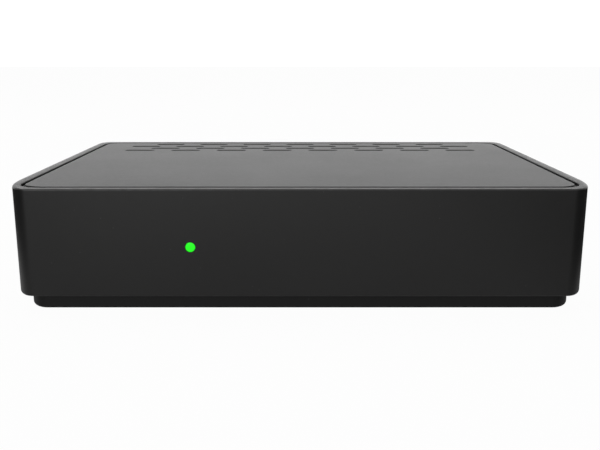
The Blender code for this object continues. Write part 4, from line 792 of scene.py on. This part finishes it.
# A slab of an outline between two heights, its end edges rounded by quarter circles of (inset, height).
def slab(name, outline, low, high, axis, edges=(0, 0), steps=3):
    lowEdge, highEdge = edges
    angle = np.linspace(0, math.pi / 2, steps + 1)
    rows = [(0, low)]
    if lowEdge:
        rows = [(lowEdge * (1 - math.sin(a)), low + lowEdge * (1 - math.cos(a))) for a in angle]
    if highEdge:
        rows += [(highEdge * (1 - math.cos(a)), high - highEdge * (1 - math.sin(a))) for a in angle]
    else:
        rows.append((0, high))
    rings = [laid(drawnIn(outline, inset), height, axis) for inset, height in rows]
    count = len(outline)
    faces = gridFaces(len(rings), count, False, True)
    faces += [list(range(count))[::-1], list(range((len(rings) - 1) * count, len(rings) * count))]
    edge = np.repeat([1.0 if inset > 0 else 0.0 for inset, height in rows], count)
    piece = meshPiece(name, np.concatenate(rings), faces, edge)
    faceOutwards(piece)
    return piece


def rectangle(middle, width, height):
    (x, y), w, h = middle, width / 2, height / 2
    return [(x - w, y - h), (x + w, y - h), (x + w, y + h), (x - w, y + h)]


# A profile of (radius, along) points turned about an axis through a place.
def lathe(name, profile, place, axis, steps=64):
    angle = np.linspace(0, 2 * math.pi, steps, endpoint=False)
    circle = np.stack([np.cos(angle), np.sin(angle)], 1)
    rings = [laid(circle * radius, along, axis) for radius, along in profile]
    points = np.concatenate(rings) + np.array(place, float)
    piece = meshPiece(name, points, gridFaces(len(rings), steps, False, True))
    faceOutwards(piece)
    return piece


# A line of (radius, along) points whose inner corners are turned into small arcs.
def softLine(points, radii, steps=4):
    return roundedPolygon(points, [0, *radii, 0], steps)


tray = {
    "inset": 0.0030, "edge": 0.0003, "bottom": 0.00085, "top": 0.0083, "floor": 0.0028, "wall": 0.0018,
    "seatHalf": 0.0780, "seatFront": 0.0487, "ribFront": 0.0473,
    "post": 0.0042, "standoff": 0.0030, "standoffTop": 0.0065,
    "counterbore": 0.0032, "screwSeat": 0.0040, "clearance": 0.0017, "pilot": 0.0015, "pilotFloor": 0.0036,
    "footRecess": 0.0063, "recessTop": 0.0020,
    "ventLength": 0.0140, "ventWidth": 0.0022, "ventPitch": 0.0200, "ventSpacing": 0.0090,
    "ventEdge": 0.00025,
    "holderSpread": 0.0280, "holderWidth": 0.0050, "holderRear": -0.0510, "holderTop": 0.0088,
    "holderFront": -0.0561, "boardSlot": (-0.0546, -0.0524, 0.0040), "boardSlotHalf": 0.0203,
    "middleFill": 0.014, "edgeRow": 0.0008, "sink": 0.0009,
}
corners = ("front_left", "front_right", "rear_left", "rear_right")


def makeTray():
    inset, edge, bottom, top, floor = tray["inset"], tray["edge"], tray["bottom"], tray["top"], tray["floor"]
    inner, middle = inset + tray["wall"], tray["middleFill"]
    profile = along("plinth", np.concatenate([
        [(middle, bottom), (inset + edge + tray["edgeRow"], bottom), (inset + edge + hair, bottom)],
        quarterRound((inset + edge, bottom + edge), edge, 270, 180, 8),
        [(inset, bottom + edge + hair), (inset, top), (inner, top), (inner, floor), (middle, floor)],
    ]))
    body = caseSweep("baseTray", profile, False, range(3, 12))
    screws = [middleOf(f"case_screw_{corner}") for corner in corners]
    boards = [middleOf(f"board_screw_{corner}") for corner in corners]
    feet = [middleOf(f"foot_{corner}") for corner in corners]
    front = middleOf("front_board")
    inside = floor - tray["sink"]
    rear = case["middleY"] + case["depth"] / 2
    half, seat, seatFront = window["halfWidth"], tray["seatHalf"], tray["seatFront"]
    holderFront, holderRear, holderTop = tray["holderFront"], tray["holderRear"], tray["holderTop"]
    holderY, holderZ = (holderRear + holderFront) / 2, (inside + holderTop) / 2
    holders = [(front.x + side * tray["holderSpread"] / 2, holderY, holderZ) for side in (-1, 1)]
    holderSize = (tray["holderWidth"], holderRear - holderFront, holderTop - inside)
    carve(body, [blockPiece("panelSeat", (-seat, seatFront, case["bottom"]), (seat, rear, top + past))])
    adds = [
        blockPiece("panelRib", (-half, tray["ribFront"], inside), (half, seatFront, top)),
        uprights("casePosts", screws, inside, top, tray["post"]),
        uprights("standoffs", boards, inside, tray["standoffTop"], tray["standoff"]),
        manyBlocks("boardHolders", holders, holderSize),
    ]
    carve(body, adds, "UNION")
    rows = flareRows(tray["ventEdge"], bottom, -1)[::-1] + [(0, floor + past)]
    places = [(x, case["middleY"] + y)
              for x in spread(5, tray["ventPitch"]) for y in spread(3, tray["ventSpacing"])]
    slotFront, slotRear, slotFloor = tray["boardSlot"]
    slotHalf = tray["boardSlotHalf"]
    cuts = [
        slotPlugs("floorVents", places, tray["ventLength"], tray["ventWidth"], rows),
        blockPiece("boardSlot", (front.x - slotHalf, slotFront, slotFloor),
                   (front.x + slotHalf, slotRear, holderTop + past)),
        uprights("counterbores", screws, bottom - past, tray["screwSeat"], tray["counterbore"]),
        uprights("footRecesses", feet, bottom - past, tray["recessTop"], tray["footRecess"], 64),
    ]
    carve(body, cuts)
    holes = [
        uprights("clearanceHoles", screws, tray["screwSeat"] - past, top + past, tray["clearance"], 24),
        uprights("boardPilots", boards, tray["pilotFloor"], tray["standoffTop"] + past, tray["pilot"], 24),
    ]
    carve(body, holes)
    dress(body, "tray_plastic", "receiver", "base_tray")


# The sole's points as (share of the radius, height over its low face), and the arcs at the line's corners.
foot = {
    "sole": [(1, 0), (0.72, 0), (0.66, 0.00025), (0.58, 0), (0.3, 0.00005), (0, 0.00012)],
    "arcs": [0.0001, 0.0006, 0, 0.0003, 0, 0],
}


# Rubber foot: a disc with a rounded lower rim, a shallow ring groove and a dished middle.
def makeFeet():
    for corner in corners:
        low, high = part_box(f"foot_{corner}")
        radius, middle = (high.x - low.x) / 2, middleOf(f"foot_{corner}")
        line = [(0, high.z), (radius, high.z)]
        line += [(radius * share, low.z + rise) for share, rise in foot["sole"]]
        piece = lathe(f"foot-{corner}", softLine(line, foot["arcs"], 6), (middle.x, middle.y, 0), "z")
        dress(piece, "foot_rubber", "receiver", f"foot_{corner}", sharp=50)


screw = {
    "head": 0.0020, "crown": 0.0009, "rim": 0.0011, "shank": 0.0014, "point": 0.0014, "pointShare": 0.5,
    "bar": 0.00062, "arm": 0.0031, "recess": 0.0013, "recessCorner": 0.0001,
}


# Pan-head screw seen from below: crowned head with a cross recess, and a shank that ends in a point.
def makeCaseScrews():
    for corner in corners:
        low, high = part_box(f"case_screw_{corner}")
        middle = middleOf(f"case_screw_{corner}")
        radius, head, shank = (high.x - low.x) / 2, low.z + screw["head"], screw["shank"]
        angle = np.radians(np.linspace(0, 78, 7))
        line = [(radius * math.sin(a), low.z + screw["crown"] * (1 - math.cos(a))) for a in angle]
        line += [(radius, low.z + screw["rim"]), (radius, head), (shank, head)]
        line += [(shank, high.z - screw["point"]), (shank * screw["pointShare"], high.z), (0, high.z)]
        piece = lathe(f"caseScrew-{corner}", line, (middle.x, middle.y, 0), "z", 40)
        bar, arm = screw["bar"], screw["arm"]
        crosses = [roundedPolygon(rectangle((middle.x, middle.y), *size), screw["recessCorner"], 2)
                   for size in ((bar, arm), (arm, bar))]
        carve(piece, [slab(f"cross{index}", cross, low.z - past, low.z + screw["recess"], "z")
                      for index, cross in enumerate(crosses)])
        dress(piece, "screw_steel", "receiver", f"case_screw_{corner}", sharp=35)


pipe = {"stem": 0.00135, "flange": 0.001, "arcs": [0.00012, 0.0001, 0.0001, 0.0001]}


# Light pipe: a flush round face with a softened rim, a stem through the wall and a flange behind it.
def makeLightPipe():
    low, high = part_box("light_pipe")
    middle = middleOf("light_pipe")
    stem, flange, step = pipe["stem"], (high.x - low.x) / 2, high.y - pipe["flange"]
    line = [(0, low.y), (stem, low.y), (stem, step), (flange, step), (flange, high.y), (0, high.y)]
    piece = lathe("lightPipe", softLine(line, pipe["arcs"]), (middle.x, 0, middle.z), "y", 64)
    dress(piece, "green_lens", "receiver", "light_pipe", sharp=50)


# Moves every point of a piece by a function on the array of points, then turns the faces outwards again.
def reshape(piece, change):
    points = np.empty(len(piece.data.vertices) * 3)
    piece.data.vertices.foreach_get("co", points)
    piece.data.vertices.foreach_set("co", change(points.reshape(-1, 3)).ravel())
    faceOutwards(piece)


# Slab that faces the rear: an outline in x and z round a middle, between two depths.
def rearSlab(name, outline, middle, back, face, edge=0.0, corner=0.0):
    rounded = roundedPolygon(outline, corner) if corner else np.array(outline, float)
    return slab(name, rounded + np.array(middle), back, face, "y", (0, edge))


scart = {
    "edge": 0.00035, "corner": 0.0007, "rim": 0.0014, "moat": 0.0016, "moatDepth": 0.0080, "coreSet": 0.0014,
    "cornerShares": (0.34, 0.18), "slots": 10, "slotSize": (0.0012, 0.0034), "slotDepth": 0.0060,
    "pitch": 0.0031875, "shift": -0.002924, "rise": 0.003784,
    "leaf": (0.00028, 0.0046, 0.0024), "leafSide": 0.00028, "leafLift": 0.00005,
}


# Rectangle whose right-hand corners are cut away unequally, drawn in by a wall.
def scartOutline(width, height, shrink):
    halfX, halfZ = width / 2 - shrink, height / 2 - shrink
    lower, upper = (share * height for share in scart["cornerShares"])
    return [(-halfX, -halfZ), (halfX - lower, -halfZ), (halfX, lower - halfZ),
            (halfX, halfZ - upper), (halfX - upper, halfZ), (-halfX, halfZ)]


def makeScart():
    low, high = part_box("scart_socket")
    width, height, face = high.x - low.x, high.z - low.z, high.y
    middle = ((low.x + high.x) / 2, (low.z + high.z) / 2)
    edge, corner = scart["edge"], scart["corner"]
    body = rearSlab("scartSocket", rectangle((0, 0), width, height), middle, low.y, face, edge, corner)
    moatFloor, coreFace = face - scart["moatDepth"], face - scart["coreSet"]
    moat = scartOutline(width, height, scart["rim"])
    core = scartOutline(width, height, scart["rim"] + scart["moat"])
    carve(body, [rearSlab("scartMoat", moat, middle, moatFloor, face + past, 0, corner)])
    carve(body, [rearSlab("scartCore", core, middle, moatFloor - past, coreFace, edge, corner)], "UNION")
    places = [(middle[0] + x + scart["shift"], middle[1] + z)
              for z in (-scart["rise"], scart["rise"]) for x in spread(scart["slots"], scart["pitch"])]
    slotWidth, slotHeight = scart["slotSize"]
    depth = scart["slotDepth"]
    slots = [(x, coreFace + (past - depth) / 2, z) for x, z in places]
    carve(body, [manyBlocks("scartSlots", slots, (slotWidth, depth + past, slotHeight))])
    dress(body, "socket_plastic", "receiver", "scart_socket")
    leafY = coreFace - depth + scart["leaf"][1] / 2 + scart["leafLift"]
    leaves = [(x + side * scart["leafSide"], leafY, z) for x, z in places for side in (-1, 1)]
    dress(manyBlocks("scartContacts", leaves, scart["leaf"]), "plated_metal", "receiver", sharp=0)


sheetSocket = {
    "wall": 0.0005, "back": 0.0020, "edge": 0.00016, "corner": 0.0007, "chamferShare": 0.35,
    "contactStart": 0.0006, "contactEnd": 0.0004, "contactThick": 0.00012,
    "tongueCorner": 0.0003, "tongueEdges": (0.0001, 0.0002),
    "hdmi": {"width": 0.00046, "upper": 10, "lower": 9, "pitch": 0.0010},
    "usb": {"width": 0.0010, "places": (-0.0035, -0.0010, 0.0010, 0.0035)},
}


# Folded sheet shell open to the rear: an outline, hollowed by the same outline drawn in by the wall.
def makeSheetShell(name, node, outline):
    low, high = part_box(node)
    middle = ((low.x + high.x) / 2, (low.z + high.z) / 2)
    rounded = roundedPolygon(outline, sheetSocket["corner"])
    shell = slab(name, rounded + np.array(middle), low.y, high.y, "y", (sheetSocket["edge"],) * 2)
    hollow = drawnIn(rounded, sheetSocket["wall"]) + np.array(middle)
    carve(shell, [slab("hollow", hollow, low.y + sheetSocket["back"], high.y + 0.001, "y")])
    dress(shell, "tinplate", "receiver", node)


def makeTongue(name, node, slot):
    low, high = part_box(node)
    outline = rectangle(((low.x + high.x) / 2, (low.z + high.z) / 2), high.x - low.x, high.z - low.z)
    rounded = roundedPolygon(outline, sheetSocket["tongueCorner"], 3)
    tongue = slab(name, rounded, low.y, high.y, "y", sheetSocket["tongueEdges"])
    dress(tongue, slot, "receiver", node)
    return low, high


def contactStrips(name, places, tongueLow, tongueHigh, width):
    start, stop = tongueLow.y + sheetSocket["contactStart"], tongueHigh.y - sheetSocket["contactEnd"]
    middles = [(x, (start + stop) / 2, z) for x, z in places]
    strips = manyBlocks(name, middles, (width, stop - start, sheetSocket["contactThick"]))
    dress(strips, "contactGold", "receiver", sharp=0)


def makeHdmiAndUsb():
    low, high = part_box("hdmi_socket")
    width, height = high.x - low.x, high.z - low.z
    chamfer = height * sheetSocket["chamferShare"]
    halfX, halfZ = width / 2, height / 2
    outline = [(-halfX, chamfer - halfZ), (chamfer - halfX, -halfZ), (halfX - chamfer, -halfZ),
               (halfX, chamfer - halfZ), (halfX, halfZ), (-halfX, halfZ)]
    makeSheetShell("hdmiSocket", "hdmi_socket", outline)
    low, high = makeTongue("hdmiTongue", "hdmi_tongue", "socket_plastic")
    facts = sheetSocket["hdmi"]
    middle = (low.x + high.x) / 2
    places = [(middle + x, z) for count, z in ((facts["upper"], high.z), (facts["lower"], low.z))
              for x in spread(count, facts["pitch"])]
    contactStrips("hdmiContacts", places, low, high, facts["width"])
    low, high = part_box("usb_socket")
    makeSheetShell("usbSocket", "usb_socket", rectangle((0, 0), high.x - low.x, high.z - low.z))
    low, high = makeTongue("usbTongue", "usb_tongue", "white_nylon")
    places = [((low.x + high.x) / 2 + x, low.z) for x in sheetSocket["usb"]["places"]]
    contactStrips("usbContacts", places, low, high, sheetSocket["usb"]["width"])


aerials = {
    "wall": 0.0006, "floorReach": 0.0025, "step": 0.00018, "stepStart": 0.0042, "stepEnd": 0.0092,
    "lip": 0.00025,
    "insulator": 0.00027, "slit": 0.0004, "slitReach": 0.003, "slitFloor": 0.0026, "lead": 0.00035,
    "arc": 0.0001, "discArc": 0.00008, "sleeveBore": 0.00125,
}


# Pin with a rounded tip, whose arc is a share of its radius.
def makePin(name, node, share, x, z):
    low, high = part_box(node)
    radius = (high.x - low.x) / 2
    line = [(0, low.y), (radius, low.y), (radius, high.y), (0, high.y)]
    pin = lathe(name, softLine(line, [0, radius * share], 8), (x, 0, z), "y", 40)
    dress(pin, "plated_metal", "receiver", node, sharp=50)


# Coaxial connectors: a cup with a shallow waist and a rolled lip, a disc of insulation on its floor,
# and in the middle a split sleeve in one and a round-tipped pin in the other.
def makeAerials():
    lip, step, arc = aerials["lip"], aerials["step"], aerials["arc"]
    for name, node in (("aerialSocket", "antenna_socket"), ("loopPlug", "antenna_loop_plug")):
        low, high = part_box(node)
        radius, middle = (high.x - low.x) / 2, middleOf(node)
        bore, back, mouth = radius - aerials["wall"], low.y, high.y
        floor = back + aerials["floorReach"]
        waistStart, waistEnd = back + aerials["stepStart"], back + aerials["stepEnd"]
        line = [(0, back), (radius, back), (radius, waistStart), (radius - step, waistStart + step),
                (radius - step, waistEnd), (radius, waistEnd + step), (radius, mouth),
                (bore, mouth), (bore, floor), (0, floor)]
        barrel = lathe(name, softLine(line, [arc] * 5 + [lip, lip, arc]), (middle.x, 0, middle.z), "y", 72)
        dress(barrel, "plated_metal", "receiver", node, sharp=50)
        top = floor + aerials["insulator"]
        disc = softLine([(0, floor), (bore, floor), (bore, top), (0, top)], [0, aerials["discArc"]])
        insulator = lathe(name + "Insulator", disc, (middle.x, 0, middle.z), "y", 48)
        dress(insulator, "white_nylon", "receiver", sharp=50)
    low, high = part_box("antenna_socket_contact")
    middle = middleOf("antenna_socket_contact")
    radius, bore, floor = (high.x - low.x) / 2, aerials["sleeveBore"], low.y + aerials["wall"]
    sleeve = [(0, low.y), (radius, low.y), (radius, high.y), (bore, high.y), (bore, floor), (0, floor)]
    line = softLine(sleeve, [0, aerials["lead"], aerials["lead"], 0])
    contact = lathe("aerialContact", line, (middle.x, 0, middle.z), "y", 48)
    slitStart, wide, thin = low.y + aerials["slitFloor"], aerials["slitReach"], aerials["slit"] / 2
    slits = [blockPiece(f"slit{index}", (middle.x - x, slitStart, middle.z - z),
                        (middle.x + x, high.y + past, middle.z + z))
             for index, (x, z) in enumerate(((thin, wide), (wide, thin)))]
    carve(contact, slits)
    dress(contact, "plated_metal", "receiver", "antenna_socket_contact")
    middle = middleOf("antenna_loop_pin")
    makePin("loopPin", "antenna_loop_pin", 0.9, middle.x, middle.z)


jack = {
    "axisZ": 0.0149, "blockFace": 0.0487, "collar": 0.0042, "bore": 0.0031, "boreFloor": 0.0420,
    "edge": 0.0003, "mouth": 0.0003,
}


def makePowerInlet():
    low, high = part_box("dc_jack")
    x, z = (low.x + high.x) / 2, jack["axisZ"]
    face, back, collar, bore = high.y, jack["blockFace"], jack["collar"], jack["bore"]
    edge, mouth, floor = jack["edge"], jack["mouth"], jack["boreFloor"]
    outline = rectangle((x, (low.z + high.z) / 2), high.x - low.x, high.z - low.z)
    body = slab("powerInlet", roundedPolygon(outline, edge * 2, 3), low.y, back, "y", (edge, edge))
    ring = [(0, back - past), (collar, back - past), (collar, face), (0, face)]
    carve(body, [lathe("inletCollar", softLine(ring, [0, edge], 4), (x, 0, z), "y", 72)], "UNION")
    rim = face + mouth
    hole = [(0, floor), (bore, floor), (bore, face - mouth), (bore + mouth * 2, rim), (0, rim)]
    carve(body, [lathe("inletBore", np.array(hole), (x, 0, z), "y", 72)])
    dress(body, "socket_plastic", "receiver", "dc_jack")
    makePin("inletPin", "dc_jack_pin", 0.85, x, z)


switch = {
    "pivotY": 0.0504, "tilt": 10,
    "body": (0.0090, 0.01453), "cavity": (0.0070, 0.01253), "cavityBack": 0.0468,
    "bezelBack": 0.0508, "corner": 0.0012, "edge": 0.0006, "axleHole": 0.0013,
    "rockerWidth": 0.0064, "axle": (0.0042, 0.0010), "rockerEdge": 0.00035,
    "rockerOutline": [(0.00317, 0.0055), (0.00137, 0.0055), (-0.0030, 0.0022), (-0.0030, -0.0022),
                      (0.00137, -0.0055), (0.00317, -0.0055), (0.0022, 0)],
    "rockerCorners": [0.0006, 0.0004, 0.0006, 0.0006, 0.0004, 0.0006, 0.012],
    "markReach": 0.0034, "markProud": 0.00005, "strokeSize": (0.0003, 0.0019), "strokeCorner": 0.00008,
    "ringRadii": (0.0010, 0.0007), "bodySet": 0.0007, "bodyCorner": 0.0006, "cavityCorner": 0.0005,
}


def makePowerSwitch():
    low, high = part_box("power_switch_housing")
    x, z = (low.x + high.x) / 2, (low.z + high.z) / 2
    corner, edge = switch["corner"], switch["edge"]
    bezel = rectangle((0, 0), high.x - low.x, high.z - low.z)
    body, cavity = (rectangle((0, 0), *switch[name]) for name in ("body", "cavity"))
    back, pivotY, mouth = switch["cavityBack"], switch["pivotY"], high.y + past
    housing = rearSlab("switchHousing", bezel, (x, z), switch["bezelBack"], high.y, edge, corner)
    bodyFace = high.y - switch["bodySet"]
    carve(housing, [rearSlab("switchBody", body, (x, z), low.y, bodyFace, 0, switch["bodyCorner"])], "UNION")
    reach = switch["body"][0] / 2 + past
    cuts = [
        rearSlab("switchCavity", cavity, (x, z), back, mouth, 0, switch["cavityCorner"]),
        rods("axleHoles", [((x - reach, pivotY, z), (x + reach, pivotY, z))], switch["axleHole"], 24),
    ]
    carve(housing, cuts)
    dress(housing, "socket_plastic", "receiver", "power_switch_housing")

    tilt = math.radians(switch["tilt"])
    pivot = np.array([x, switch["pivotY"], z])
    turn = np.array([[1, 0, 0], [0, math.cos(tilt), math.sin(tilt)], [0, -math.sin(tilt), math.cos(tilt)]])

    def tilted(points):
        return points @ turn + pivot

    half = switch["rockerWidth"] / 2
    outline = roundedPolygon(switch["rockerOutline"], switch["rockerCorners"], 8)
    rocker = slab("powerRocker", outline, -half, half, "x", (switch["rockerEdge"],) * 2)
    reach, radius = switch["axle"]
    carve(rocker, [rods("axle", [((-reach, 0, 0), (reach, 0, 0))], radius, 24)], "UNION")
    reshape(rocker, tilted)
    dress(rocker, "socket_plastic", "rocker", "power_rocker")

    # the marks lie on the two flats: across is x, up runs along the flat, out is its normal
    tip, dip = np.array(switch["rockerOutline"][0]), np.array(switch["rockerOutline"][-1])
    outer, inner = switch["ringRadii"]
    proud = switch["markProud"]
    bar = roundedPolygon(rectangle((0, 0), *switch["strokeSize"]), switch["strokeCorner"], 3)
    stroke = slab("onMark", bar, -proud, proud, "z")
    loop = [(inner, -proud), (outer, -proud), (outer, proud), (inner, proud), (inner, -proud)]
    ring = lathe("offMark", loop, (0, 0, 0), "z", 40)
    for mark, side in ((stroke, 1), (ring, -1)):
        up = (tip - dip) * (1, side) / np.linalg.norm(tip - dip)
        out = np.array([up[1], -up[0]]) * side
        place = dip + up * switch["markReach"]
        frameRows = np.array([[1, 0, 0], [0, *up], [0, *out]])
        reshape(mark, lambda points: tilted(points @ frameRows + [0, *place]))
        dress(mark, "white_nylon", "rocker")


makeCaseShell()
makeLid()
print("case shell and lid made")
makeTray()
makeFeet()
makeCaseScrews()
makeLightPipe()
print("tray, feet, screws and lamp made")
makeScart()
makeHdmiAndUsb()
makeAerials()
makePowerInlet()
makePowerSwitch()
print("rear connectors and switch made")
